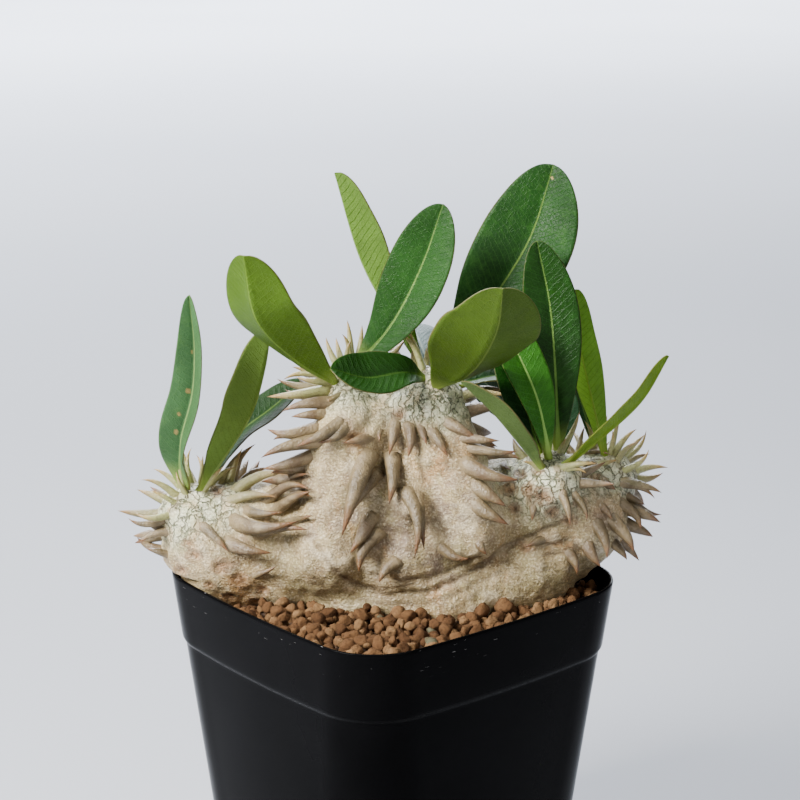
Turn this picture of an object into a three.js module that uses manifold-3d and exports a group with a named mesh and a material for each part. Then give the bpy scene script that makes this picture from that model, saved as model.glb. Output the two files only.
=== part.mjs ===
// A caudex plant in a square nursery pot: a squat grey body with branch heads, spines and twenty leaves.
// Millimetres, +Z up. The origin is the middle of the pot's flat base. The pot's sides lie along X and Y.
// The plant is laid out in a frame of its own, u to the right, v away and w up, and plantTurn turns it
// in the pot.
import * as THREE from 'three';
import { mergeVertices } from 'three/addons/utils/BufferGeometryUtils.js';
import Module from 'manifold-3d';

const wasm = await Module();
wasm.setup();

// Driving dimensions
const plantTurn = THREE.MathUtils.degToRad(-39.5);
const clearance = 0.35;
const wallRoom = 1;

const pot = {
  height: 110,
  rimSide: 105,
  rimCorner: 19.5,
  collarDrop: 21,
  collarStep: 0.8,
  collarSlope: 1.6,
  baseSide: 87.5,
  baseCorner: 26,
  baseChamfer: 1.2,
  bow: 1.2,
  wall: 1.1,
  lip: 0.3,
  floor: 1.6,
  holeRadius: 4,
  holeReach: 24,
};
const ledge = pot.height - pot.collarDrop;

const soilTop = 102.5;
// The granules' radius is about twice life size, so that few of them still cover the surface.
const granuleRadius = 3.7;
const granulePitch = 7;
const granuleDrift = 0.6;
const granuleLift = 0.6;
const granuleFlatness = 0.85;
const granuleSeed = 7;

const skinCell = 5.8;
const skinLow = [-84, -44, 56];
const skinHigh = [88, 60, 186];
const blend = 5.5;
const wallBlend = 1.5;

const spineLift = 0.45;
const spineRoot = 2;
const spineBow = 0.1;
const spineSides = 3;
// Rings of points along a spine: [share of its length, share of its root's width].
const spineStations = [[0, 1], [0.6, 0.72]];
const spineSeed = 41;

const bladeThickness = 0.9;
const petioleWidth = 2.4;
const petioleShare = 0.25;
const widestShare = 0.62;
const leafSeat = 2;
// Where along the midrib the blade has a row of points, as shares of its length.
const bladeStations = [0, 0.05, 0.15, 0.3, 0.46, 0.62, 0.78, 0.91, 1];

// Small helpers
function random(seed) {
  let state = seed;
  return () => {
    state = (state + 0x6d2b79f5) | 0;
    let t = Math.imul(state ^ (state >>> 15), 1 | state);
    t = (t + Math.imul(t ^ (t >>> 7), 61 | t)) ^ t;
    return ((t ^ (t >>> 14)) >>> 0) / 4294967296;
  };
}

function vector(list) {
  return new THREE.Vector3(list[0], list[1], list[2]);
}

function mix(from, to, share) {
  return from + (to - from) * share;
}

function geometryOf(positions, triangles) {
  const geometry = new THREE.BufferGeometry();
  geometry.setAttribute('position', new THREE.Float32BufferAttribute(positions, 3));
  geometry.setIndex(triangles);
  return geometry;
}

function solid(source) {
  const bare = source.clone();
  bare.deleteAttribute('normal');
  bare.deleteAttribute('uv');
  const merged = mergeVertices(bare, 1e-4);
  const vertProperties = new Float32Array(merged.attributes.position.array);
  const triVerts = new Uint32Array(merged.index.array);
  return new wasm.Manifold(new wasm.Mesh({ numProp: 3, vertProperties, triVerts }));
}

function geometryFrom(manifold) {
  const mesh = manifold.getMesh();
  return geometryOf(Array.from(mesh.vertProperties), Array.from(mesh.triVerts));
}

function joined(solids) {
  let round = solids;
  while (round.length > 1) {
    const next = [];
    for (let i = 0; i < round.length; i += 2) {
      next.push(i + 1 < round.length ? round[i].add(round[i + 1]) : round[i]);
    }
    round = next;
  }
  return round[0];
}

function largest(manifold) {
  const pieces = manifold.decompose();
  pieces.sort((a, b) => b.volume() - a.volume());
  return pieces[0];
}

// Rings of equal length joined into one closed body. The first and last rings are closed by fans.
function loft(rings) {
  const count = rings[0].length;
  const positions = rings.flat(2);
  const triangles = [];
  for (let r = 0; r + 1 < rings.length; r += 1) {
    for (let i = 0; i < count; i += 1) {
      const a = r * count + i;
      const b = r * count + ((i + 1) % count);
      triangles.push(a, b, b + count, a, b + count, a + count);
    }
  }
  for (const [ring, outward] of [[0, false], [rings.length - 1, true]]) {
    const middle = positions.length / 3;
    for (let axis = 0; axis < 3; axis += 1) {
      positions.push(rings[ring].reduce((sum, point) => sum + point[axis], 0) / count);
    }
    for (let i = 0; i < count; i += 1) {
      const a = ring * count + i;
      const b = ring * count + ((i + 1) % count);
      triangles.push(...(outward ? [a, b, middle] : [b, a, middle]));
    }
  }
  return geometryOf(positions, triangles);
}

// Rings of equal length joined into a closed band, the last to the first.
function band(rings) {
  const count = rings[0].length;
  const triangles = [];
  for (let r = 0; r < rings.length; r += 1) {
    const next = (r + 1) % rings.length;
    for (let i = 0; i < count; i += 1) {
      const j = (i + 1) % count;
      const [a, b, c, d] = [r * count + i, r * count + j, next * count + j, next * count + i];
      triangles.push(a, b, c, a, c, d);
    }
  }
  return geometryOf(rings.flat(2), triangles);
}

// Pot
// A square ring with round corners and sides that bow out a little, seen from above.
function potRing(side, corner, z) {
  const half = side / 2;
  const straight = half - corner;
  const ring = [];
  for (let quarter = 0; quarter < 4; quarter += 1) {
    const turn = (quarter * Math.PI) / 2;
    const points = [];
    for (const share of [-0.5, 0, 0.5]) {
      points.push([half + pot.bow * (1 - share * share), share * straight]);
    }
    for (const angle of [0, 22.5, 45, 67.5, 90]) {
      const radians = THREE.MathUtils.degToRad(angle);
      points.push([straight + corner * Math.cos(radians), straight + corner * Math.sin(radians)]);
    }
    for (const [x, y] of points) {
      ring.push([x * Math.cos(turn) - y * Math.sin(turn), x * Math.sin(turn) + y * Math.cos(turn), z]);
    }
  }
  return ring;
}

// The pot's outline at a height, moved inwards. The collar stands out by its step.
function potAt(z, inset) {
  const share = z / pot.height;
  const inwards = inset + (z < ledge ? pot.collarStep : 0);
  const side = mix(pot.baseSide, pot.rimSide, share) - 2 * inwards;
  const corner = mix(pot.baseCorner, pot.rimCorner, share) - inwards;
  return potRing(side, corner, z);
}

function makePot() {
  const outer = [
    potAt(0, pot.baseChamfer),
    potAt(pot.baseChamfer, 0),
    potAt(ledge - pot.collarSlope / 2, 0),
    potAt(ledge + pot.collarSlope / 2, pot.lip),
    potAt(pot.height - pot.lip, 0),
    potAt(pot.height, pot.lip),
  ];
  const inner = [
    potAt(pot.height, pot.wall - pot.lip),
    potAt(pot.height - pot.lip, pot.wall),
    potAt(ledge + pot.collarSlope / 2, pot.wall),
    potAt(ledge - pot.collarSlope / 2, pot.wall),
    potAt(pot.floor, pot.wall),
  ];
  let body = solid(loft([...outer, ...inner]));
  for (const [x, y] of [[1, 1], [-1, 1], [-1, -1], [1, -1]]) {
    const hole = new THREE.CylinderGeometry(pot.holeRadius, pot.holeRadius, 4 * pot.floor, 16);
    hole.rotateX(Math.PI / 2);
    hole.translate(x * pot.holeReach, y * pot.holeReach, 0);
    body = body.subtract(solid(hole));
  }
  return geometryFrom(body);
}

// The rim's wall with the clearance round it, as the room that the plant leaves.
function potWall() {
  const high = pot.height + clearance;
  return band([
    potAt(ledge, pot.wall + clearance),
    potAt(ledge, -clearance),
    potAt(high, -clearance),
    potAt(high, pot.wall + clearance),
  ]);
}

// Distance from the pot's inner wall in plan, negative inside, for a point of the plant frame.
function wallDistance(u, v, z) {
  const x = u * Math.cos(plantTurn) - v * Math.sin(plantTurn);
  const y = u * Math.sin(plantTurn) + v * Math.cos(plantTurn);
  const share = z / pot.height;
  const corner = mix(pot.baseCorner, pot.rimCorner, share) - pot.wall;
  const half = mix(pot.baseSide, pot.rimSide, share) / 2 - pot.wall - corner;
  const dx = Math.max(Math.abs(x) - half, 0);
  const dy = Math.max(Math.abs(y) - half, 0);
  return Math.hypot(dx, dy) - corner;
}

// Caudex
// Each lobe is a bar with round ends: [from, to, radius at from, radius at to]. The last is the taproot.
const lobes = [
  [[-20, 12, 108], [28, 14, 109], 22, 22],
  [[-12, 24, 114], [24, 26, 116], 20, 19],
  [[2, 14, 128], [2, 10, 150], 28, 20],
  [[-11, 6, 150], [-12, 5, 164], 13, 9],
  [[10, 2, 150], [11, 0, 163], 14, 9.5],
  [[-22, 6, 123.5], [-51, 4, 118.5], 17, 16],
  [[-53, 2, 120.5], [-59, 0, 127.5], 14, 9],
  [[-51, 3, 114.5], [-34, 1, 112.5], 15, 15],
  [[24, 8, 126], [54, 8, 128], 17, 14],
  [[44, -1, 132], [46, -5, 139], 12, 9],
  [[58, 10, 128], [64, 13, 135], 13, 9],
  [[-10, -4, 105], [16, -8, 105], 12, 12],
  [[16, -8, 105], [40, 0, 111], 12, 13],
  [[40, 0, 111], [56, 6, 118.5], 13, 10.5],
  [[-13, -5, 156], [-18, -10, 120], 9, 12],
  [[17, -5, 150], [24, -8, 126], 9, 11],
  [[2, -4, 132], [4, -8, 118], 14, 13],
  [[0, 12, 98], [2, 14, 74], 15, 9],
];

function smoothMin(a, b, reach) {
  const h = Math.max(reach - Math.abs(a - b), 0) / reach;
  return Math.min(a, b) - (h * h * reach) / 4;
}

function smoothMax(a, b, reach) {
  return -smoothMin(-a, -b, reach);
}

function lobeDistance(p, [from, to, fromRadius, toRadius]) {
  const axis = [to[0] - from[0], to[1] - from[1], to[2] - from[2]];
  const arm = [p[0] - from[0], p[1] - from[1], p[2] - from[2]];
  const length2 = axis[0] ** 2 + axis[1] ** 2 + axis[2] ** 2;
  const along = (arm[0] * axis[0] + arm[1] * axis[1] + arm[2] * axis[2]) / length2;
  const share = Math.min(Math.max(along, 0), 1);
  const gap = Math.hypot(arm[0] - share * axis[0], arm[1] - share * axis[1], arm[2] - share * axis[2]);
  return gap - mix(fromRadius, toRadius, share);
}

// Negative inside the caudex. It keeps clear of the pot's wall up to just over the rim.
function caudexDistance(p) {
  let distance = 1e3;
  for (const lobe of lobes) {
    distance = smoothMin(distance, lobeDistance(p, lobe), blend);
  }
  const wall = Math.max(-wallDistance(p[0], p[1], p[2]) - wallRoom, p[2] - pot.height - wallRoom);
  return smoothMax(distance, -wall, wallBlend);
}

function slope(field, p) {
  const step = 0.05;
  const out = [0, 0, 0];
  for (let axis = 0; axis < 3; axis += 1) {
    const ahead = [...p];
    const behind = [...p];
    ahead[axis] += step;
    behind[axis] -= step;
    out[axis] = (field(ahead) - field(behind)) / (2 * step);
  }
  return vector(out);
}

// The nearest point of a field's zero surface, by a few steps down its slope.
function snap(field, p, steps = 6) {
  let place = [...p];
  for (let i = 0; i < steps; i += 1) {
    const away = slope(field, place);
    const move = field(place) / Math.max(away.lengthSq(), 0.05);
    place = [place[0] - move * away.x, place[1] - move * away.y, place[2] - move * away.z];
  }
  return place;
}

// A closed skin round where the field is negative: one vertex in each grid cell that the surface
// passes through, and one quad across each grid edge that it cuts.
function skin(field, low, high, cell) {
  const size = low.map((value, axis) => Math.ceil((high[axis] - value) / cell) + 1);
  const stride = [1, size[0], size[0] * size[1]];
  const values = new Float64Array(size[0] * size[1] * size[2]);
  const place = (i, j, k) => [low[0] + i * cell, low[1] + j * cell, low[2] + k * cell];
  for (let k = 0; k < size[2]; k += 1) {
    for (let j = 0; j < size[1]; j += 1) {
      for (let i = 0; i < size[0]; i += 1) {
        values[i + j * stride[1] + k * stride[2]] = field(place(i, j, k));
      }
    }
  }
  const corners = [];
  for (let c = 0; c < 8; c += 1) {
    corners.push([c & 1, (c >> 1) & 1, (c >> 2) & 1]);
  }
  const vertexAt = new Map();
  const positions = [];
  for (let k = 0; k + 1 < size[2]; k += 1) {
    for (let j = 0; j + 1 < size[1]; j += 1) {
      for (let i = 0; i + 1 < size[0]; i += 1) {
        const at = i + j * stride[1] + k * stride[2];
        const heights = corners.map((c) => values[at + c[0] + c[1] * stride[1] + c[2] * stride[2]]);
        const inside = heights.filter((height) => height < 0).length;
        if (inside === 0 || inside === 8) {
          continue;
        }
        const sum = [0, 0, 0];
        let count = 0;
        for (let a = 0; a < 8; a += 1) {
          for (const bit of [1, 2, 4]) {
            const b = a | bit;
            if (b === a || heights[a] < 0 === heights[b] < 0) {
              continue;
            }
            const share = heights[a] / (heights[a] - heights[b]);
            for (let axis = 0; axis < 3; axis += 1) {
              sum[axis] += mix(corners[a][axis], corners[b][axis], share);
            }
            count += 1;
          }
        }
        const point = place(i + sum[0] / count, j + sum[1] / count, k + sum[2] / count);
        vertexAt.set(at, positions.length / 3);
        positions.push(...snap(field, point, 2));
      }
    }
  }
  const triangles = [];
  for (let k = 1; k + 1 < size[2]; k += 1) {
    for (let j = 1; j + 1 < size[1]; j += 1) {
      for (let i = 1; i + 1 < size[0]; i += 1) {
        const at = i + j * stride[1] + k * stride[2];
        for (let axis = 0; axis < 3; axis += 1) {
          const next = at + stride[axis];
          if (values[at] < 0 === values[next] < 0) {
            continue;
          }
          const side = stride[(axis + 1) % 3];
          const up = stride[(axis + 2) % 3];
          const quad = [at - side - up, at - up, at, at - side].map((key) => vertexAt.get(key));
          if (values[at] >= 0) {
            quad.reverse();
          }
          triangles.push(quad[0], quad[1], quad[2], quad[0], quad[2], quad[3]);
        }
      }
    }
  }
  return geometryOf(positions, triangles);
}

// Spines
// A bent cone with few sides, from a root sunk in the body to a sharp tip. The bow is how far it bends.
function thorn(start, end, radius, bow) {
  const sides = spineSides;
  const axis = end.clone().sub(start);
  const steep = Math.abs(axis.z) > 0.9 * axis.length();
  const helper = new THREE.Vector3(steep ? 1 : 0, 0, steep ? 0 : 1);
  const across = new THREE.Vector3().crossVectors(axis, helper).normalize();
  const over = new THREE.Vector3().crossVectors(axis, across).normalize();
  const positions = [];
  for (const [share, width] of spineStations) {
    const middle = start.clone().lerp(end, share).addScaledVector(bow, 4 * share * (1 - share));
    for (let i = 0; i < sides; i += 1) {
      const angle = ((i + 0.5) * 2 * Math.PI) / sides;
      const point = middle
        .clone()
        .addScaledVector(across, radius * width * Math.cos(angle))
        .addScaledVector(over, radius * width * Math.sin(angle));
      positions.push(point.x, point.y, point.z);
    }
  }
  positions.push(end.x, end.y, end.z, start.x, start.y, start.z);
  const apex = spineStations.length * sides;
  const triangles = [];
  for (let i = 0; i < sides; i += 1) {
    const j = (i + 1) % sides;
    for (let s = 0; s + 1 < spineStations.length; s += 1) {
      const a = s * sides;
      triangles.push(a + i, a + j, a + sides + j, a + i, a + sides + j, a + sides + i);
    }
    const last = (spineStations.length - 1) * sides;
    triangles.push(last + i, last + j, apex);
    triangles.push(j, i, apex + 1);
  }
  return geometryOf(positions, triangles);
}

// A spine at a place on the body: it leaves along aim and out from the skin, then bends back towards it.
function spineAt(place, aim, length, width) {
  const root = snap(caudexDistance, place);
  const out = slope(caudexDistance, root).normalize();
  const along = vector(aim).normalize();
  const lean = along.clone().addScaledVector(out, spineLift).normalize();
  const from = vector(root).addScaledVector(out, -spineRoot);
  const tip = vector(root).addScaledVector(lean, length).addScaledVector(along, spineBow * length);
  return thorn(from, tip, width / 2, out.multiplyScalar(spineBow * length));
}

// Spines stand in rings round each growing tip, the upper ring nearly upright, the lower ones leaning out.
function ringSpines(tip, draw) {
  const axis = vector(tip.axis).normalize();
  const side = new THREE.Vector3().crossVectors(axis, new THREE.Vector3(0, 1, 0)).normalize();
  const front = new THREE.Vector3().crossVectors(axis, side);
  const spines = [];
  for (const ring of tip.rings) {
    for (let i = 0; i < ring.count; i += 1) {
      const angle = ((i + ring.turn + 0.4 * (draw() - 0.5)) * 2 * Math.PI) / ring.count;
      const out = side.clone().multiplyScalar(Math.cos(angle)).addScaledVector(front, Math.sin(angle));
      const place = vector(tip.place).addScaledVector(out, ring.radius).addScaledVector(axis, -ring.drop);
      const lean = THREE.MathUtils.degToRad(ring.lean);
      const aim = out.multiplyScalar(Math.sin(lean)).addScaledVector(axis, Math.cos(lean));
      const length = ring.length * mix(0.75, 1.15, draw());
      spines.push(spineAt(place.toArray(), aim.toArray(), length, ring.width * mix(0.85, 1.15, draw())));
    }
  }
  return spines;
}

// Spines stand in combs along the flanks: a row from one place to another, whose aim turns along the row.
function combSpines([from, to, count, aim, aimTo, length, width], draw) {
  const spines = [];
  for (let i = 0; i < count; i += 1) {
    const share = i / (count - 1);
    const place = from.map((value, axis) => mix(value, to[axis], share) + draw() - 0.5);
    const towards = aim.map((value, axis) => mix(value, aimTo[axis], share) + 0.3 * (draw() - 0.5));
    const reach = length * mix(0.85, 1.1, draw());
    spines.push(spineAt(place, towards, reach, width * mix(0.85, 1.1, draw())));
  }
  return spines;
}

// Leaves
// Half the blade's width at a share of its length, as a share of the widest, which is reached at widest.
function bladeShape(share, widest) {
  const stretch = Math.log(0.5) / Math.log(widest);
  return Math.pow(Math.sin(Math.PI * Math.pow(share, stretch)), share > widest ? 0.5 : 0.7);
}

// The midrib starts sunk in the caudex: its first point is where its own line reaches the seat's depth.
function seated(points, depth) {
  const first = vector(points[0]);
  const along = vector(points[1]).sub(first).normalize();
  const step = 0.1;
  first.addScaledVector(along, 4);
  for (let i = 0; i < 140 && caudexDistance(first.toArray()) > -depth; i += 1) {
    first.addScaledVector(along, -step);
  }
  return [first, ...points.slice(1).map(vector)];
}

// A folded blade: three columns of points on its upper face, three on its lower face, split alike.
function leafGeometry(leaf, grow) {
  const points = seated(leaf.rib, leafSeat + grow);
  const curve = new THREE.CatmullRomCurve3(points, false, 'centripetal');
  const positions = [];
  for (const share of bladeStations) {
    const middle = curve.getPointAt(share);
    const along = curve.getTangentAt(share);
    const face = vector(leaf.face).lerp(vector(leaf.faceTip), share);
    face.addScaledVector(along, -face.dot(along)).normalize();
    const side = new THREE.Vector3().crossVectors(along, face);
    const petiole = Math.max(1 - share / petioleShare, 0);
    const least = share < 0.5 ? petioleWidth / 2 : 0.5;
    const half = Math.max((leaf.width / 2) * bladeShape(share, leaf.widest ?? widestShare), least) + grow;
    const thick = mix(bladeThickness, petioleWidth, petiole) / 2 + grow;
    const fold = THREE.MathUtils.degToRad(leaf.fold) * (1 - petiole);
    for (const level of [1, -1]) {
      for (const column of [-1, 0, 1]) {
        const edge = Math.abs(column) * half;
        const point = middle
          .clone()
          .addScaledVector(side, column * half * Math.cos(fold))
          .addScaledVector(face, edge * Math.sin(fold) + level * thick * (column === 0 ? 1 : 0.8));
        positions.push(point.x, point.y, point.z);
      }
    }
  }
  const triangles = [];
  for (let s = 0; s + 1 < bladeStations.length; s += 1) {
    const a = 6 * s;
    const b = a + 6;
    for (const c of [0, 1]) {
      triangles.push(a + c, a + c + 1, b + c + 1, a + c, b + c + 1, b + c);
      triangles.push(a + c + 3, b + c + 4, a + c + 4, a + c + 3, b + c + 3, b + c + 4);
    }
    triangles.push(a, b, b + 3, a, b + 3, a + 3);
    triangles.push(a + 2, b + 5, b + 2, a + 2, a + 5, b + 5);
  }
  const t = 6 * (bladeStations.length - 1);
  triangles.push(0, 3, 4, 0, 4, 1, 1, 4, 5, 1, 5, 2);
  triangles.push(t, t + 4, t + 3, t, t + 1, t + 4, t + 1, t + 5, t + 4, t + 1, t + 2, t + 5);
  return geometryOf(positions, triangles);
}

// The growing tips. Each ring of spines: how many, how far out from the tip's axis, how far down it, and
// how far it leans out from the axis in degrees.
const tips = [
  {
    place: [-59, 0, 136.5],
    axis: [-0.35, -0.25, 0.9],
    rings: [
      { count: 6, turn: 0.2, radius: 4.5, drop: 0, lean: 28, length: 10, width: 3.4 },
      { count: 9, turn: 0.5, radius: 8.5, drop: 4, lean: 62, length: 11, width: 3.9 },
      { count: 11, turn: 0, radius: 13, drop: 11, lean: 95, length: 10, width: 4.4 },
    ],
  },
  {
    place: [-12, 5, 173],
    axis: [-0.1, 0.2, 1],
    rings: [
      { count: 6, turn: 0.3, radius: 5, drop: 0, lean: 22, length: 10, width: 3.4 },
      { count: 9, turn: 0.1, radius: 9, drop: 6, lean: 75, length: 12, width: 4.1 },
    ],
  },
  {
    place: [11, -1, 172],
    axis: [0.1, -0.1, 1],
    rings: [
      { count: 5, turn: 0.4, radius: 5.5, drop: 0, lean: 30, length: 8, width: 3.2 },
      { count: 8, turn: 0.2, radius: 11, drop: 8, lean: 85, length: 12, width: 4.4 },
    ],
  },
  {
    place: [46, -6, 148],
    axis: [0, -0.2, 1],
    rings: [
      { count: 6, turn: 0, radius: 5, drop: 0, lean: 35, length: 9, width: 3.2 },
      { count: 8, turn: 0.5, radius: 10, drop: 7, lean: 85, length: 10, width: 3.9 },
    ],
  },
  {
    place: [66, 13, 144],
    axis: [0.3, 0.15, 0.9],
    rings: [
      { count: 6, turn: 0.2, radius: 4.5, drop: 0, lean: 30, length: 11, width: 3.4 },
      { count: 9, turn: 0.4, radius: 9, drop: 4, lean: 65, length: 11, width: 3.9 },
      { count: 10, turn: 0, radius: 12, drop: 12, lean: 100, length: 11, width: 4.6 },
    ],
  },
];

// Rows of spines on the flanks, the front ones first: [from, to, count, aim at the first, aim at the last,
// length, width].
const combs = [
  [[-49, -11, 138.5], [-45, -15, 118.5], 5, [1, -0.1, 0.2], [1, -0.1, -0.2], 11.5, 5.1],
  [[-41, -3, 138.5], [-37, -9, 122.5], 5, [1, 0, 0.2], [1, 0, -0.1], 11.5, 5.1],
  [[-32, 0, 139.5], [-28, -11, 128], 4, [1, 0, 0.2], [1, 0, 0], 10, 4.9],
  [[-17, -8, 166], [-26, -8, 144], 6, [-1, -0.2, -0.3], [-1, -0.3, -0.2], 11, 5.1],
  [[-12, -12, 162], [-20, -14, 148], 4, [-0.8, -0.2, -0.7], [-1, -0.2, -0.5], 10, 4.9],
  [[-7, -18, 150], [-6, -26, 118], 5, [-0.25, -0.3, -1], [-0.2, -0.3, -1], 16, 6.1],
  [[1, -16, 154], [4, -24, 122], 5, [0.1, -0.3, -1], [0.3, -0.3, -1], 12.5, 5.6],
  [[14, -16, 160], [22, -16, 146], 3, [0.7, -0.2, -0.8], [0.8, -0.2, -0.7], 11, 5.4],
  [[20, -12, 152], [26, -18, 132], 5, [1, -0.1, -0.4], [1, -0.1, -0.5], 13.5, 5.6],
  [[16, -22, 122], [30, -20, 122], 3, [0.9, -0.2, -0.5], [0.9, -0.2, -0.4], 8.5, 4.9],
  [[50, -12, 136], [68, -4, 128], 5, [0.3, -0.3, -1], [0.8, -0.2, -0.8], 11, 5.1],
  [[56, -8, 121], [67, 0, 119], 4, [0.2, -0.3, -1], [0.6, -0.2, -1], 10, 4.9],
  [[-50, 16, 134.5], [-40, 22, 121], 5, [0.4, 0.6, 0.3], [0.5, 0.8, -0.2], 11, 4.9],
  [[-30, 12, 140], [-34, 22, 124], 4, [0.6, 0.6, 0.2], [0.2, 1, -0.3], 10.5, 4.9],
  [[-18, 20, 158], [-26, 36, 130], 6, [-0.5, 0.7, -0.5], [-0.4, 0.8, -0.6], 11.5, 5.4],
  [[-4, 24, 160], [-8, 44, 126], 6, [-0.1, 0.7, -0.8], [-0.1, 0.7, -0.9], 12, 5.4],
  [[12, 24, 158], [14, 46, 126], 6, [0.2, 0.7, -0.8], [0.1, 0.7, -0.9], 12, 5.4],
  [[24, 18, 152], [32, 40, 126], 6, [0.6, 0.6, -0.5], [0.5, 0.7, -0.7], 11.5, 5.4],
  [[40, 16, 144], [48, 32, 122], 5, [0.4, 0.7, 0.1], [0.4, 0.8, -0.6], 10.5, 4.9],
];

// The leaves. The rib runs from the seat to the tip, and face is where the upper side looks.
const leaves = [
  {
    name: 'leaf_01',
    rib: [[-61, 0, 137.5], [-61, -5, 151.5], [-57, -8, 167.5], [-56, -9, 181], [-57, -11, 197]],
    width: 14,
    face: [-0.75, -0.65, 0],
    faceTip: [-0.3, -0.95, 0],
    fold: 38,
    widest: 0.4,
  },
  {
    name: 'leaf_02',
    rib: [[-57, -2, 135.5], [-50, -1, 145.5], [-41.5, 3, 158.5], [-37.5, 6, 171], [-35.5, 9, 183]],
    width: 20,
    face: [-0.85, 0.5, 0.3],
    faceTip: [-0.85, 0.5, 0.3],
    fold: 32,
  },
  {
    name: 'leaf_03',
    rib: [[-17, -3, 170], [-26, -12, 178], [-37, -24, 193], [-40, -30, 212]],
    width: 24,
    face: [0.5, 0.8, 0.35],
    faceTip: [0.4, 0.9, 0.35],
    fold: 22,
  },
  {
    name: 'leaf_04',
    rib: [[-54, 4, 137.5], [-46, 14, 148.5], [-35.5, 21, 155.5], [-26.5, 26, 162.5]],
    width: 13,
    face: [-0.4, -0.6, 0.7],
    faceTip: [-0.4, -0.6, 0.7],
    fold: 20,
  },
  {
    name: 'leaf_05',
    rib: [[10, 6, 170], [2, 9, 184], [-8, 12, 202], [-16, 14, 228]],
    width: 19,
    face: [0.85, 0.5, 0.2],
    faceTip: [0.85, 0.5, 0.2],
    fold: 32,
  },
  {
    name: 'leaf_06',
    rib: [[-10, 2, 173], [0, 2, 185], [9, 1, 203], [15, 0, 221]],
    width: 20,
    face: [-0.4, -0.85, 0.4],
    faceTip: [-0.3, -0.9, 0.2],
    fold: 15,
  },
  {
    name: 'leaf_07',
    rib: [[9, -4.5, 171], [4, -10, 174], [-7, -16, 174], [-17, -21, 178]],
    width: 15,
    face: [0.8, -0.4, 0.5],
    faceTip: [0.1, -0.7, 0.7],
    fold: 24,
  },
  {
    name: 'leaf_08',
    rib: [[14, -8, 170], [21, -20, 176], [26, -31, 185], [29, -37, 194], [30, -40, 205]],
    width: 32,
    face: [-0.2, 0.7, 1],
    faceTip: [-0.1, 0.8, 0],
    fold: 20,
    widest: 0.6,
  },
  {
    name: 'leaf_09',
    rib: [[43, -11, 147], [37, -15, 155], [29, -18, 165], [20, -20, 174]],
    width: 12,
    face: [0.6, 0.35, 0.7],
    faceTip: [0.6, 0.35, 0.7],
    fold: 20,
  },
  {
    name: 'leaf_10',
    rib: [[16, 5, 170], [30, 10, 191], [41, 14, 209], [47.5, 16, 230]],
    width: 29,
    face: [-0.3, -0.9, 0.3],
    faceTip: [-0.2, -0.9, 0.2],
    fold: 12,
  },
  {
    name: 'leaf_11',
    rib: [[21, 3, 167], [29, 8, 168], [38, 12, 168], [47, 16, 171]],
    width: 13,
    face: [0, -0.3, 1],
    faceTip: [0, -0.3, 1],
    fold: 18,
  },
  {
    name: 'leaf_12',
    rib: [[62, 17, 143], [57, 22, 158], [53, 26, 173], [53, 27, 187]],
    width: 9,
    face: [0.7, -0.7, 0],
    faceTip: [0.7, -0.7, 0.1],
    fold: 18,
  },
  {
    name: 'leaf_13',
    rib: [[49, -3, 147], [48, 0, 170], [46, 2, 191.5], [42, 2, 210]],
    width: 17,
    face: [0.05, -1, 0.05],
    faceTip: [0.05, -1, 0.05],
    fold: 15,
  },
  {
    name: 'leaf_14',
    rib: [[45.5, -7.5, 149], [42, -9.5, 166], [35, -8, 182], [29, -4, 194]],
    width: 13,
    face: [0.3, -0.9, 0.2],
    faceTip: [0.3, -0.9, 0.2],
    fold: 15,
  },
  {
    name: 'leaf_15',
    rib: [[43, -5, 148], [40, -5, 159.5], [36, -4, 171], [31, -3, 180.5]],
    width: 13,
    face: [0.2, -0.9, 0.3],
    faceTip: [0.2, -0.9, 0.3],
    fold: 15,
  },
  {
    name: 'leaf_16',
    rib: [[64, 9, 143], [62, 9, 152], [58, 8, 168], [55, 7, 181], [54, 6, 195]],
    width: 11,
    face: [0.2, 0.97, 0.1],
    faceTip: [0.2, 0.97, 0.1],
    fold: 28,
  },
  {
    name: 'leaf_17',
    rib: [[51, -9.5, 147], [61, -14, 157], [71, -17, 168], [78, -18, 181]],
    width: 12,
    face: [-0.6, 0.3, 0.7],
    faceTip: [-0.6, 0.3, 0.7],
    fold: 20,
  },
  {
    name: 'leaf_18',
    rib: [[50, 3, 147], [51, 12, 156], [47, 21, 163], [43, 30, 170]],
    width: 13,
    face: [0, -1, 0.3],
    faceTip: [0, -1, 0.3],
    fold: 15,
  },
  {
    name: 'leaf_19',
    rib: [[41, 18, 151], [35, 26, 155], [28, 32, 161], [20, 36, 166]],
    width: 12,
    face: [-0.3, -0.7, 0.6],
    faceTip: [-0.3, -0.7, 0.6],
    fold: 18,
  },
  {
    name: 'leaf_20',
    rib: [[13, 8, 168], [10, 16, 173], [8, 26, 176], [6, 36, 177]],
    width: 12,
    face: [0, -0.35, 0.93],
    faceTip: [0, -0.35, 0.93],
    fold: 18,
  },
];

function makeCaudex() {
  const draw = random(spineSeed);
  let body = solid(skin(caudexDistance, skinLow, skinHigh, skinCell));
  const spines = [];
  for (const tip of tips) {
    spines.push(...ringSpines(tip, draw));
  }
  for (const comb of combs) {
    spines.push(...combSpines(comb, draw));
  }
  body = body.add(joined(spines.map(solid)));
  body = body.subtract(joined(leaves.map((leaf) => solid(leafGeometry(leaf, clearance)))));
  const wall = potWall();
  wall.rotateZ(-plantTurn);
  body = body.subtract(solid(wall));
  return geometryFrom(largest(body));
}

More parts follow.
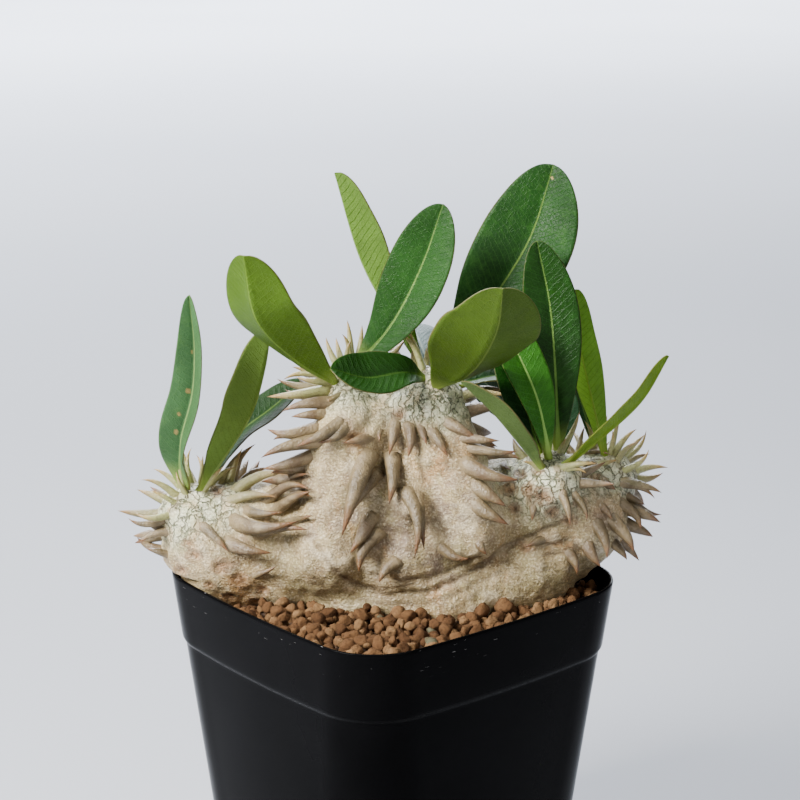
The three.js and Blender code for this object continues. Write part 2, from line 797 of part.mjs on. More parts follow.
// Substrate
// Granules are lumps with few faces, seeded in rows over the surface where the caudex doesn't stand.
function makeSubstrate() {
  const draw = random(granuleSeed);
  const inset = pot.wall + clearance;
  const levels = [pot.floor + clearance, ledge - pot.collarSlope / 2, ledge + pot.collarSlope / 2, soilTop];
  let body = solid(loft(levels.map((z) => potAt(z, inset))));
  const granules = [];
  const reach = pot.rimSide / 2;
  for (let x = -reach; x < reach; x += granulePitch) {
    for (let y = -reach; y < reach; y += granulePitch) {
      const gx = x + granulePitch * granuleDrift * draw();
      const gy = y + granulePitch * granuleDrift * draw();
      const size = granuleRadius * mix(0.8, 1.15, draw());
      const turn = draw() * 6;
      const lift = mix(-granuleLift, granuleLift, draw());
      const u = gx * Math.cos(-plantTurn) - gy * Math.sin(-plantTurn);
      const v = gx * Math.sin(-plantTurn) + gy * Math.cos(-plantTurn);
      const room = wallDistance(u, v, soilTop);
      if (room > -size - 1 || caudexDistance([u, v, soilTop]) < 0.5 * size) {
        continue;
      }
      const lump = new THREE.IcosahedronGeometry(size, 0);
      lump.rotateX(turn);
      lump.rotateY(2 * turn);
      lump.scale(1, 1, granuleFlatness);
      lump.translate(gx, gy, soilTop + lift);
      granules.push(lump);
    }
  }
  body = body.add(joined(granules.map(solid)));
  const hole = skin((p) => caudexDistance(p) - 2 * clearance, skinLow, skinHigh, skinCell);
  hole.rotateZ(plantTurn);
  return geometryFrom(largest(body.subtract(solid(hole))));
}

// Assembly
function finish(colour, roughness, metalness) {
  return new THREE.MeshStandardMaterial({ color: colour, roughness, metalness, flatShading: true });
}

function piece(name, geometry, material) {
  const mesh = new THREE.Mesh(geometry, material);
  mesh.name = name;
  return mesh;
}

const group = new THREE.Group();
const plant = new THREE.Group();
plant.rotation.z = plantTurn;
group.add(piece('pot', makePot(), finish(0x141416, 0.28, 0)));
group.add(piece('substrate', makeSubstrate(), finish(0x9a7250, 0.95, 0)));
plant.add(piece('caudex', makeCaudex(), finish(0xb3a48c, 0.8, 0)));
for (const leaf of leaves) {
  plant.add(piece(leaf.name, leafGeometry(leaf, 0), finish(0x3f7a2c, 0.4, 0)));
}
group.add(plant);

export default group;
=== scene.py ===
import math

import bmesh
import bpy
import numpy as np
from mathutils import Matrix, Vector, noise


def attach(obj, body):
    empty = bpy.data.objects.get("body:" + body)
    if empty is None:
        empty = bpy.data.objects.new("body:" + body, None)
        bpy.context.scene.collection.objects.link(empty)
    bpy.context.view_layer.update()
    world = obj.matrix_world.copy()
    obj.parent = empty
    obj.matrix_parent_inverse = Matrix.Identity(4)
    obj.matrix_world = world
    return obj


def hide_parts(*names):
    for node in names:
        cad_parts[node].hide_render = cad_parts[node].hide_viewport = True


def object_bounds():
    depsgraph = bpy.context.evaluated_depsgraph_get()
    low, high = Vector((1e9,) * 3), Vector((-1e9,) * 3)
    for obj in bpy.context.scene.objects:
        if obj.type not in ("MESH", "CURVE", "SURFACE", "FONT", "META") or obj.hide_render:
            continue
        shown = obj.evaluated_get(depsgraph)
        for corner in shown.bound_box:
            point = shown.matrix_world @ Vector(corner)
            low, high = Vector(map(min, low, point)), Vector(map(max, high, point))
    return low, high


# A potted caudex plant. Blender is in metres, but shapes are laid out here in millimetres, most of them in
# the plant's own frame: u to the right, v away and w up, turned about Z by PLANT_TURN in the pot.
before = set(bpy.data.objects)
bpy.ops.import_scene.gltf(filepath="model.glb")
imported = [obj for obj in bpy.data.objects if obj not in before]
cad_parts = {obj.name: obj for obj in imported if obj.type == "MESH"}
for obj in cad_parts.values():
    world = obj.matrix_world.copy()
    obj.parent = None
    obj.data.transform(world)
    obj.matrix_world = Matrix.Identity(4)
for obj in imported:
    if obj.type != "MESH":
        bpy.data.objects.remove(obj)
cad_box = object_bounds()

MM = 0.001
PLANT_TURN = math.radians(-39.5)

# Pot
POT_HEIGHT = 110.0
RIM_SIDE = 105.0
RIM_CORNER = 19.5
COLLAR_DROP = 21.0
COLLAR_STEP = 0.8
COLLAR_SLOPE = 1.6
BASE_SIDE = 87.5
BASE_CORNER = 26.0
BASE_CHAMFER = 1.2
POT_BOW = 1.2
POT_WALL = 1.1
POT_LIP = 0.3
POT_FLOOR = 1.6
HOLE_RADIUS = 4.0
HOLE_REACH = 24.0
LEDGE = POT_HEIGHT - COLLAR_DROP

# Plant and soil
CLEARANCE = 0.35
WALL_ROOM = 1.0
SOIL_TOP = 102.5
BLEND = 5.5
WALL_BLEND = 1.5
SKIN_CELL = 0.85
SKIN_LOW = (-84.0, -44.0, 56.0)
SKIN_HIGH = (88.0, 60.0, 186.0)
SLOPE_STEP = 0.05
LEAST_SLOPE = 0.05
FAR_AWAY = 1e3
TINY = 1e-9

# The photograph's camera, in the plant frame, and the steps along a ray from it
PHOTO_SIZE = 800
CAMERA_REACH = 620.0
CAMERA_RISE = math.radians(19.76)
CAMERA_PITCH = math.radians(15.0)
CAMERA_YAW = math.radians(0.26)
PIXELS_PER_MM = 3.334
FOCAL_PIXELS = CAMERA_REACH * PIXELS_PER_MM
SENSOR = 36.0
RAY_NEAR = CAMERA_REACH - 120
RAY_FAR = CAMERA_REACH + 160
RAY_HIT = 0.02
RAY_STEP = 0.8
LEAST_STEP = 0.05


def unit(vectors):
    return vectors / np.maximum(np.linalg.norm(vectors, axis=-1, keepdims=True), TINY)


def mix(a, b, share):
    return a + (b - a) * share


def smoothstep(low, high, value):
    t = np.clip((value - low) / (high - low), 0, 1)
    return t * t * (3 - 2 * t)


def seeded(seed):
    """The same small random generator as in the part's source, so that its draws are the same."""
    state = [seed]

    def draw():
        state[0] = (state[0] + 0x6D2B79F5) & 0xFFFFFFFF
        t = state[0]
        t = ((t ^ (t >> 15)) * (1 | t)) & 0xFFFFFFFF
        t = ((t + (((t ^ (t >> 7)) * (61 | t)) & 0xFFFFFFFF)) & 0xFFFFFFFF) ^ t
        return (t ^ (t >> 14)) / 4294967296

    return draw


def turned_plan(x, y, angle):
    c, s = math.cos(angle), math.sin(angle)
    return x * c - y * s, x * s + y * c


def to_part(points):
    """Plant frame in millimetres to the part's frame in metres."""
    points = np.asarray(points, float)
    x, y = turned_plan(points[:, 0], points[:, 1], PLANT_TURN)
    return np.stack([x, y, points[:, 2]], -1) * MM


def boxed(points):
    """Points moved into the CAD model's box, where noise or a rounding took them a hair out of it."""
    return np.clip(points, np.array(cad_box[0]), np.array(cad_box[1]))


def band(first, second, count):
    """Faces between two rings of points, which begin at these places in the list of points."""
    turns = [(i, (i + 1) % count) for i in range(count)]
    return [(first + i, first + j, second + j, second + i) for i, j in turns]


def loft(rings):
    """A closed solid through rings of points."""
    count = len(rings[0])
    starts = range(0, len(rings) * count, count)
    faces = [face for first, second in zip(starts, starts[1:]) for face in band(first, second, count)]
    faces.append(tuple(reversed(range(count))))
    faces.append(tuple(range(starts[-1], starts[-1] + count)))
    return np.vstack(rings), faces


def make_object(name, points, faces, smooth=True):
    """A mesh object at the origin from points in metres in the part's frame."""
    mesh = bpy.data.meshes.new(name)
    mesh.from_pydata([tuple(p) for p in points], [], [tuple(f) for f in faces])
    mesh.validate()
    if smooth:
        mesh.polygons.foreach_set("use_smooth", [True] * len(mesh.polygons))
    made = bpy.data.objects.new(name, mesh)
    bpy.context.scene.collection.objects.link(made)
    return made


def dress(thing, slot, material, node, **masks):
    """A piece in place of a node of the part. Each mask holds the vertices' numbers for the material."""
    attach(thing, "root")
    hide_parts(node)
    thing.data.materials.clear()
    thing.data.materials.append(material)
    thing.data.polygons.foreach_set("material_index", [0] * len(thing.data.polygons))
    for name, values in masks.items():
        attribute = thing.data.attributes.new(name, "FLOAT", "POINT")
        attribute.data.foreach_set("value", np.asarray(values, np.float32))


# Body of the caudex
# Each lobe is a bar with round ends: from, to, radius at from, radius at to. The last is the taproot.
LOBES = [
    ((-20, 12, 108), (28, 14, 109), 22, 22),
    ((-12, 24, 114), (24, 26, 116), 20, 19),
    ((2, 14, 128), (2, 10, 150), 28, 20),
    ((-11, 6, 150), (-12, 5, 164), 13, 9),
    ((10, 2, 150), (11, 0, 163), 14, 9.5),
    ((-22, 6, 123.5), (-51, 4, 118.5), 17, 16),
    ((-53, 2, 120.5), (-59, 0, 127.5), 14, 9),
    ((-51, 3, 114.5), (-34, 1, 112.5), 15, 15),
    ((24, 8, 126), (54, 8, 128), 17, 14),
    ((44, -1, 132), (46, -5, 139), 12, 9),
    ((58, 10, 128), (64, 13, 135), 13, 9),
    ((-10, -4, 105), (16, -8, 105), 12, 12),
    ((16, -8, 105), (40, 0, 111), 12, 13),
    ((40, 0, 111), (56, 6, 118.5), 13, 10.5),
    ((-13, -5, 156), (-18, -10, 120), 9, 12),
    ((17, -5, 150), (24, -8, 126), 9, 11),
    ((2, -4, 132), (4, -8, 118), 14, 13),
    ((0, 12, 98), (2, 14, 74), 15, 9),
]


def segment_gap(points, start, end):
    """Distance of points from a segment, and how far along it each one's nearest place is, from 0 to 1."""
    start = np.array(start, float)
    axis = np.array(end, float) - start
    arm = points - start
    share = np.clip(arm @ axis / (axis @ axis), 0, 1)
    return np.linalg.norm(arm - share[:, None] * axis, axis=1), share


def smooth_min(a, b, reach):
    h = np.maximum(reach - np.abs(a - b), 0) / reach
    return np.minimum(a, b) - h * h * reach / 4


def wall_distance(points):
    """Distance from the pot's inner wall in plan, negative inside."""
    x, y = turned_plan(points[:, 0], points[:, 1], PLANT_TURN)
    share = points[:, 2] / POT_HEIGHT
    corner = mix(BASE_CORNER, RIM_CORNER, share) - POT_WALL
    half = mix(BASE_SIDE, RIM_SIDE, share) / 2 - POT_WALL - corner
    dx = np.maximum(np.abs(x) - half, 0)
    dy = np.maximum(np.abs(y) - half, 0)
    return np.hypot(dx, dy) - corner


def caudex_distance(points):
    """Distance from the caudex's skin, negative inside, as in the part's source."""
    points = np.asarray(points, float).reshape(-1, 3)
    distance = np.full(len(points), FAR_AWAY)
    for start, end, start_radius, end_radius in LOBES:
        gap, share = segment_gap(points, start, end)
        distance = smooth_min(distance, gap - mix(start_radius, end_radius, share), BLEND)
    wall = np.maximum(-wall_distance(points) - WALL_ROOM, points[:, 2] - POT_HEIGHT - WALL_ROOM)
    return -smooth_min(-distance, wall, WALL_BLEND)


def slope(points):
    points = np.asarray(points, float).reshape(-1, 3)
    parts = []
    for axis in range(3):
        move = np.zeros(3)
        move[axis] = SLOPE_STEP
        rise = caudex_distance(points + move) - caudex_distance(points - move)
        parts.append(rise / (2 * SLOPE_STEP))
    return np.stack(parts, -1)


def snap(points, steps=6):
    """The nearest points of the caudex's surface, by a few steps down its slope."""
    places = np.array(points, float).reshape(-1, 3)
    for _ in range(steps):
        away = slope(places)
        move = caudex_distance(places) / np.maximum((away * away).sum(1), LEAST_SLOPE)
        places = places - move[:, None] * away
    return places


def skin():
    """A closed skin round the caudex: one vertex in each grid cell that the surface passes through."""
    low, high = np.array(SKIN_LOW), np.array(SKIN_HIGH)
    size = np.ceil((high - low) / SKIN_CELL).astype(int) + 1
    axes = [low[i] + np.arange(size[i]) * SKIN_CELL for i in range(3)]
    values = np.empty(size)
    for k, w in enumerate(axes[2]):
        u, v = np.meshgrid(axes[0], axes[1], indexing="ij")
        layer = np.stack([u.ravel(), v.ravel(), np.full(u.size, w)], -1)
        values[:, :, k] = caudex_distance(layer).reshape(size[0], size[1])
    cells = tuple(size - 1)
    total = np.zeros(cells + (3,))
    count = np.zeros(cells)
    corners = [(c & 1, (c >> 1) & 1, (c >> 2) & 1) for c in range(8)]

    def at(corner):
        return values[tuple(slice(c, c + n) for c, n in zip(corner, cells))]

    for a in range(8):
        for bit in (1, 2, 4):
            b = a | bit
            if b == a:
                continue
            first, second = at(corners[a]), at(corners[b])
            crossed = (first < 0) != (second < 0)
            share = np.where(crossed, first / np.where(crossed, first - second, 1), 0)
            for axis in range(3):
                place = mix(corners[a][axis], corners[b][axis], share)
                total[..., axis] += np.where(crossed, place, 0)
            count += crossed
    used = count > 0
    index = np.full(cells, -1)
    index[used] = np.arange(used.sum())
    where = np.argwhere(used)
    points = low + (where + total[used] / count[used][:, None]) * SKIN_CELL
    faces = []
    for axis in range(3):
        side, up = (axis + 1) % 3, (axis + 2) % 3
        here = values[tuple(slice(1, n) for n in cells)]
        ahead = [slice(2, n + 1) if i == axis else slice(1, n) for i, n in enumerate(cells)]
        there = values[tuple(ahead)]
        spots = np.argwhere((here < 0) != (there < 0)) + 1
        one = np.eye(3, dtype=int)
        quad = [spots - one[side] - one[up], spots - one[up], spots, spots - one[side]]
        quad = np.stack([index[tuple(q.T)] for q in quad], -1)
        outside = values[tuple(spots.T)] >= 0
        quad[outside] = quad[outside][:, ::-1]
        faces.append(quad)
    return snap(points, 2), np.concatenate(faces)


# The photograph's camera
def camera_axes():
    """Where the camera stands, and which ways are right, up and forward for it."""
    rise = CAMERA_REACH * math.sin(CAMERA_RISE)
    place = np.array([0, -CAMERA_REACH * math.cos(CAMERA_RISE), POT_HEIGHT + rise])
    level, drop = math.cos(CAMERA_PITCH), math.sin(CAMERA_PITCH)
    forward = np.array([math.sin(CAMERA_YAW) * level, math.cos(CAMERA_YAW) * level, -drop])
    right = np.array([math.cos(CAMERA_YAW), -math.sin(CAMERA_YAW), 0])
    return place, right, np.cross(right, forward), forward


EYE, EYE_RIGHT, EYE_UP, EYE_FORWARD = camera_axes()


def pixels_of(points):
    """Where points of the plant frame fall in the photograph."""
    arm = points - EYE
    depth = arm @ EYE_FORWARD
    across = FOCAL_PIXELS * (arm @ EYE_RIGHT) / depth
    rise = FOCAL_PIXELS * (arm @ EYE_UP) / depth
    half = PHOTO_SIZE / 2
    return np.stack([half + across, half - rise], -1)


def ray_through(pixel):
    """The direction through a pixel, one millimetre deep."""
    half = PHOTO_SIZE / 2
    across = (pixel[0] - half) / FOCAL_PIXELS
    down = (pixel[1] - half) / FOCAL_PIXELS
    return EYE_FORWARD + across * EYE_RIGHT - down * EYE_UP


def skin_at(pixel):
    """Where the caudex shows at a pixel, or the nearest place on it where the ray passes it by."""
    ray = ray_through(pixel)
    length = np.linalg.norm(ray)
    depth, nearest, best = RAY_NEAR, 0.0, FAR_AWAY
    while depth < RAY_FAR:
        gap = caudex_distance(EYE + ray * depth)[0]
        if gap < best:
            nearest, best = depth, gap
        if gap < RAY_HIT:
            break
        depth += RAY_STEP * max(gap, LEAST_STEP) / length
    return snap(EYE + ray * nearest)[0]


# Spines
SPINE_LIFT = 0.45
SPINE_ROOT = 2.0
SPINE_SIDES = 8
SPINE_SEED = 41
# The growing tips: place, axis and rings of spines. Each ring: how many, turn, how far out from the axis, how
# far down it, lean from the axis in degrees, length and width.
TIPS = [
    ((-59, 0, 136.5), (-0.35, -0.25, 0.9), [
        (6, 0.2, 4.5, 0, 28, 10, 3.4),
        (9, 0.5, 8.5, 4, 62, 11, 3.9),
        (11, 0, 13, 11, 95, 10, 4.4),
    ]),
    ((-12, 5, 173), (-0.1, 0.2, 1), [
        (6, 0.3, 5, 0, 22, 10, 3.4),
        (9, 0.1, 9, 6, 75, 12, 4.1),
    ]),
    ((11, -1, 172), (0.1, -0.1, 1), [
        (5, 0.4, 5.5, 0, 30, 8, 3.2),
        (8, 0.2, 11, 8, 85, 12, 4.4),
    ]),
    ((46, -6, 148), (0, -0.2, 1), [
        (6, 0, 5, 0, 35, 9, 3.2),
        (8, 0.5, 10, 7, 85, 10, 3.9),
    ]),
    ((66, 13, 144), (0.3, 0.15, 0.9), [
        (6, 0.2, 4.5, 0, 30, 11, 3.4),
        (9, 0.4, 9, 4, 65, 11, 3.9),
        (10, 0, 12, 12, 100, 11, 4.6),
    ]),
]

# Rows of spines on the flanks: from, to, how many, aim at the first, aim at the last, length, width.
COMBS = [
    ((-49, -11, 138.5), (-45, -15, 118.5), 5, (1, -0.1, 0.2), (1, -0.1, -0.2), 11.5, 5.1),
    ((-41, -3, 138.5), (-37, -9, 122.5), 5, (1, 0, 0.2), (1, 0, -0.1), 11.5, 5.1),
    ((-32, 0, 139.5), (-28, -11, 128), 4, (1, 0, 0.2), (1, 0, 0), 10, 4.9),
    ((-17, -8, 166), (-26, -8, 144), 6, (-1, -0.2, -0.3), (-1, -0.3, -0.2), 11, 5.1),
    ((-12, -12, 162), (-20, -14, 148), 4, (-0.8, -0.2, -0.7), (-1, -0.2, -0.5), 10, 4.9),
    ((-7, -18, 150), (-6, -26, 118), 5, (-0.25, -0.3, -1), (-0.2, -0.3, -1), 16, 6.1),
    ((1, -16, 154), (4, -24, 122), 5, (0.1, -0.3, -1), (0.3, -0.3, -1), 12.5, 5.6),
    ((14, -16, 160), (22, -16, 146), 3, (0.7, -0.2, -0.8), (0.8, -0.2, -0.7), 11, 5.4),
    ((20, -12, 152), (26, -18, 132), 5, (1, -0.1, -0.4), (1, -0.1, -0.5), 13.5, 5.6),
    ((16, -22, 122), (30, -20, 122), 3, (0.9, -0.2, -0.5), (0.9, -0.2, -0.4), 8.5, 4.9),
    ((50, -12, 136), (68, -4, 128), 5, (0.3, -0.3, -1), (0.8, -0.2, -0.8), 11, 5.1),
    ((56, -8, 121), (67, 0, 119), 4, (0.2, -0.3, -1), (0.6, -0.2, -1), 10, 4.9),
    ((-50, 16, 134.5), (-40, 22, 121), 5, (0.4, 0.6, 0.3), (0.5, 0.8, -0.2), 11, 4.9),
    ((-30, 12, 140), (-34, 22, 124), 4, (0.6, 0.6, 0.2), (0.2, 1, -0.3), 10.5, 4.9),
    ((-18, 20, 158), (-26, 36, 130), 6, (-0.5, 0.7, -0.5), (-0.4, 0.8, -0.6), 11.5, 5.4),
    ((-4, 24, 160), (-8, 44, 126), 6, (-0.1, 0.7, -0.8), (-0.1, 0.7, -0.9), 12, 5.4),
    ((12, 24, 158), (14, 46, 126), 6, (0.2, 0.7, -0.8), (0.1, 0.7, -0.9), 12, 5.4),
    ((24, 18, 152), (32, 40, 126), 6, (0.6, 0.6, -0.5), (0.5, 0.7, -0.7), 11.5, 5.4),
    ((40, 16, 144), (48, 32, 122), 5, (0.4, 0.7, 0.1), (0.4, 0.8, -0.6), 10.5, 4.9),
]

# Spines in front, read from the photograph in its pixels: root x, y, tip x, y and width.
FRONT_SPINES = [
    # left head
    (188, 491, 171, 455, 9), (191, 483, 181, 446, 9), (187, 495, 176, 471, 8), (183, 487, 153, 469, 9),
    (179, 497, 141, 480, 10), (178, 504, 150, 490, 8), (171, 513, 135, 513, 10), (165, 519, 128, 518, 10),
    (164, 528, 148, 524, 9), (167, 532, 140, 543, 9), (164, 552, 137, 537, 10), (168, 556, 146, 548, 8),
    (198, 483, 214, 464, 8), (202, 491, 224, 466, 9), (206, 487, 237, 467, 9), (222, 473, 256, 444, 11),
    (218, 466, 242, 450, 9), (228, 472, 245, 454, 9), (193, 478, 192, 447, 8), (200, 478, 203, 455, 7),
    # left lobe, towards the right
    (230, 493, 293, 478, 14), (226, 501, 279, 498, 13), (263, 501, 310, 490, 12), (261, 473, 295, 464, 11),
    (273, 487, 310, 474, 10), (234, 520, 300, 521, 16), (275, 511, 312, 491, 12), (290, 521, 313, 515, 9),
    (255, 535, 308, 530, 14), (226, 542, 273, 553, 15), (200, 524, 230, 553, 13), (284, 505, 311, 497, 11),
    (240, 478, 270, 468, 10), (253, 577, 277, 566, 8), (245, 509, 285, 512, 12),
    # left flank of the middle heads
    (326, 371, 283, 380, 11), (336, 381, 295, 377, 11), (330, 389, 266, 397, 14), (334, 401, 281, 412, 14),
    (325, 412, 291, 417, 11), (318, 427, 267, 429, 14), (314, 436, 273, 440, 12), (322, 440, 261, 458, 14),
    (312, 454, 262, 469, 13), (342, 422, 295, 447, 15), (346, 424, 317, 443, 14), (373, 438, 342, 443, 13),
    (303, 462, 270, 474, 11), (345, 392, 322, 405, 10), (320, 374, 292, 367, 9),
    # cleft
    (370, 452, 341, 538, 20), (377, 471, 346, 520, 17), (391, 456, 389, 505, 16), (395, 420, 389, 456, 13),
    (408, 424, 408, 458, 13), (404, 488, 414, 560, 16), (416, 492, 424, 550, 15), (371, 515, 350, 554, 17),
    (377, 532, 359, 573, 17), (397, 562, 379, 583, 14), (383, 424, 380, 442, 10),
    # right flank of the middle heads
    (445, 421, 479, 440, 14), (430, 430, 448, 457, 14), (420, 425, 427, 445, 10), (468, 447, 518, 451, 11),
    (484, 453, 520, 459, 11), (464, 463, 520, 480, 17), (474, 484, 507, 507, 17), (473, 503, 509, 525, 17),
    (479, 538, 487, 555, 12), (441, 545, 470, 559, 13), (505, 462, 511, 470, 8), (487, 386, 512, 397, 10),
    (460, 436, 500, 441, 11),
    # right heads
    (562, 491, 570, 526, 11), (573, 492, 587, 521, 10), (595, 521, 607, 559, 14), (586, 541, 601, 567, 15),
    (566, 550, 577, 575, 13), (611, 518, 634, 553, 15), (611, 540, 627, 560, 11), (621, 502, 641, 530, 12),
    (623, 522, 653, 537, 13), (622, 481, 662, 493, 12), (620, 484, 655, 499, 9), (622, 471, 649, 449, 10),
    (616, 464, 640, 442, 9), (612, 456, 637, 429, 10), (612, 448, 620, 416, 8), (608, 457, 612, 430, 8),
    (559, 467, 598, 464, 10), (570, 457, 611, 455, 9), (561, 470, 587, 474, 9), (557, 455, 566, 438, 8),
    (563, 438, 580, 410, 9), (570, 440, 585, 426, 8), (532, 439, 520, 419, 9), (532, 502, 532, 521, 10),
    (604, 480, 616, 490, 12), (546, 540, 525, 547, 10), (548, 455, 535, 440, 8), (585, 455, 600, 440, 8),
    (596, 462, 618, 460, 9), (626, 495, 645, 505, 10), (600, 505, 612, 520, 10), (540, 470, 522, 462, 8),
    # crown
    (352, 362, 347, 320, 9), (350, 364, 342, 334, 9), (358, 362, 362, 325, 9), (346, 368, 352, 340, 8),
    (438, 366, 436, 345, 7), (424, 372, 398, 333, 9), (424, 370, 408, 330, 9),
]
# Spines by the rule: each set's seed, shift and least gap to the spines before it. A root that faces the
# photograph's camera by more than FRONT_FACING is left to the front spines.
SPINE_SETS = ((SPINE_SEED, 0.0, 3.0), (SPINE_SEED + 7, 0.5, 2.6))
FRONT_FACING = 0.25
TURN_JITTER = 0.4
AIM_JITTER = 0.3
RING_LENGTHS = (0.75, 1.15)
RING_WIDTHS = (0.85, 1.15)
COMB_SIZES = (0.85, 1.1)
SHIFT_OUT, SHIFT_DOWN, SHIFT_ASIDE = 2, 4, 8
SPINE_BOW = 0.1
# Spines by pixel: bow, depth of the root, how far the tip comes towards the camera and how clear of the skin
# it stays.
PIXEL_BOW = 0.15
PIXEL_ROOT = 1.2
PIXEL_RISE = 0.28
TIP_CLEAR = 1.5
TIP_CLEAR_SHARE = 0.1
TIP_REACH = 15
TIP_STEP = 0.4
# A spine's cross-sections and profile. Spines near a growing tip, within YOUTH_REACH, are slim and green.
SPINE_STATIONS = [0, 0.1, 0.2, 0.32, 0.44, 0.56, 0.68, 0.79, 0.88, 0.95]
SPINE_GIRTH = 1.15
YOUNG_GIRTH = 0.75
YOUTH_REACH = (7, 17)
YOUNG_AGES = (0.3, 1)
SPINE_WOBBLE = 0.3
SPINE_NUDGE = np.array((0.01, 0.02, 0.03))
TAPER_START, TAPER_POWER = 1.8, 1.1
FLARE = 0.25
FLARE_REACH = 0.12
KEEL = 0.12
FLATNESS = 0.85


def spine_along(place, aim, length, width):
    """A spine by the part's rule: sunk start, tip, radius, bow, root and the way out of the skin there."""
    root = snap(place)[0]
    out = unit(slope(root))[0]
    along = unit(np.array(aim, float))
    lean = unit(along + SPINE_LIFT * out)
    tip = root + lean * length + along * SPINE_BOW * length
    return root - out * SPINE_ROOT, tip, width / 2, out * SPINE_BOW * length, root, out


def rule_spines(draw, shift):
    """Spines by the part's rule. The shift moves the second set in between the first."""
    spines = []
    for place, axis, rings in TIPS:
        axis = unit(np.array(axis, float))
        side = unit(np.cross(axis, (0, 1, 0)))
        front = np.cross(axis, side)
        for count, turn, radius, drop, lean, length, width in rings:
            for i in range(count):
                angle = (i + turn + shift + TURN_JITTER * (draw() - 0.5)) * 2 * math.pi / count
                out = side * math.cos(angle) + front * math.sin(angle)
                spot = place + out * (radius + SHIFT_OUT * shift) - axis * (drop + SHIFT_DOWN * shift)
                aim = out * math.sin(math.radians(lean)) + axis * math.cos(math.radians(lean))
                reach = length * mix(*RING_LENGTHS, draw())
                spines.append(spine_along(spot, aim, reach, width * mix(*RING_WIDTHS, draw())))
    for start, end, count, aim, aim_to, length, width in COMBS:
        for i in range(count):
            share = (i + shift) / (count - 1)
            spot = [mix(a, b, share) + draw() - 0.5 for a, b in zip(start, end)]
            spot[0] += SHIFT_ASIDE * shift
            towards = [mix(a, b, share) + AIM_JITTER * (draw() - 0.5) for a, b in zip(aim, aim_to)]
            reach = length * mix(*COMB_SIZES, draw())
            spines.append(spine_along(spot, towards, reach, width * mix(*COMB_SIZES, draw())))
    return spines


def pixel_spine(root_x, root_y, tip_x, tip_y, width):
    """The same for a spine whose root is on the skin at one pixel and whose tip shows at another."""
    root = skin_at((root_x, root_y))
    out = unit(slope(root))[0]
    depth = (root - EYE) @ EYE_FORWARD
    length = math.hypot(tip_x - root_x, tip_y - root_y) * depth / FOCAL_PIXELS
    ray = ray_through((tip_x, tip_y))
    tip_depth = depth - PIXEL_RISE * length * max(-out @ EYE_FORWARD, 0)
    clear = TIP_CLEAR + TIP_CLEAR_SHARE * length
    while caudex_distance(EYE + ray * tip_depth)[0] < clear and tip_depth > depth - TIP_REACH:
        tip_depth -= TIP_STEP
    tip = EYE + ray * tip_depth
    radius = SPINE_GIRTH * width / 2 * depth / FOCAL_PIXELS
    return root - out * PIXEL_ROOT, tip, radius, out * PIXEL_BOW * length, root, out


def all_spines():
    """The front spines, and those of the rule that the photograph's camera doesn't see."""
    spines = [pixel_spine(*row) for row in FRONT_SPINES]
    roots = [spine[4] for spine in spines]
    for seed, shift, least in SPINE_SETS:
        for spine in rule_spines(seeded(seed), shift):
            root, out = spine[4:]
            near = np.linalg.norm(np.array(roots) - root, axis=1).min()
            if out @ unit(EYE - root) < FRONT_FACING and near > least:
                spines.append(spine)
                roots.append(root)
    return spines


def spine_mesh(spines):
    """All spines as bent cones, wide over their lower half. Returns points, faces and masks: the share along
    a spine, and its age, which is below nought for young ones."""
    draw = seeded(SPINE_SEED + 1)
    tips = np.array([place for place, _, _ in TIPS], float)
    share = np.array(SPINE_STATIONS)[:, None]
    taper = (1 - share ** TAPER_START) ** TAPER_POWER + FLARE * np.exp(-share / FLARE_REACH)
    angle = np.arange(SPINE_SIDES) * 2 * math.pi / SPINE_SIDES
    profile = taper * (1 + KEEL * np.cos(2 * angle - math.pi))
    points, faces, ages = [], [], []
    for start, tip, radius, bow, root, out in spines:
        axis = tip - start
        across = unit(np.cross(axis, out + SPINE_NUDGE))
        over = unit(np.cross(axis, across)) * FLATNESS
        wobble = across * (draw() - 0.5) * SPINE_WOBBLE * np.linalg.norm(axis)
        youth = 1 - smoothstep(*YOUTH_REACH, np.linalg.norm(tips - root, axis=1).min())
        age = mix(draw(), 0, youth) - youth * mix(*YOUNG_AGES, draw())
        middle = start + axis * share + bow * 4 * share * (1 - share) + wobble * np.sin(math.pi * share)
        wide = (radius * mix(1, YOUNG_GIRTH, youth) * profile)[..., None]
        turn = np.cos(angle)[:, None] * across + np.sin(angle)[:, None] * over
        base = len(points)
        points += [*(middle[:, None] + wide * turn).reshape(-1, 3), tip, start]
        ages += [age] * (len(points) - base)
        apex = len(points) - 2
        last = apex - SPINE_SIDES
        for first in range(base, last, SPINE_SIDES):
            faces += band(first, first + SPINE_SIDES, SPINE_SIDES)
        for i in range(SPINE_SIDES):
            j = (i + 1) % SPINE_SIDES
            faces += [(last + i, last + j, apex), (base + j, base + i, apex + 1)]
    along = [*np.repeat(SPINE_STATIONS, SPINE_SIDES), 1, 0] * len(spines)
    return np.array(points), faces, {"along": along, "age": ages}


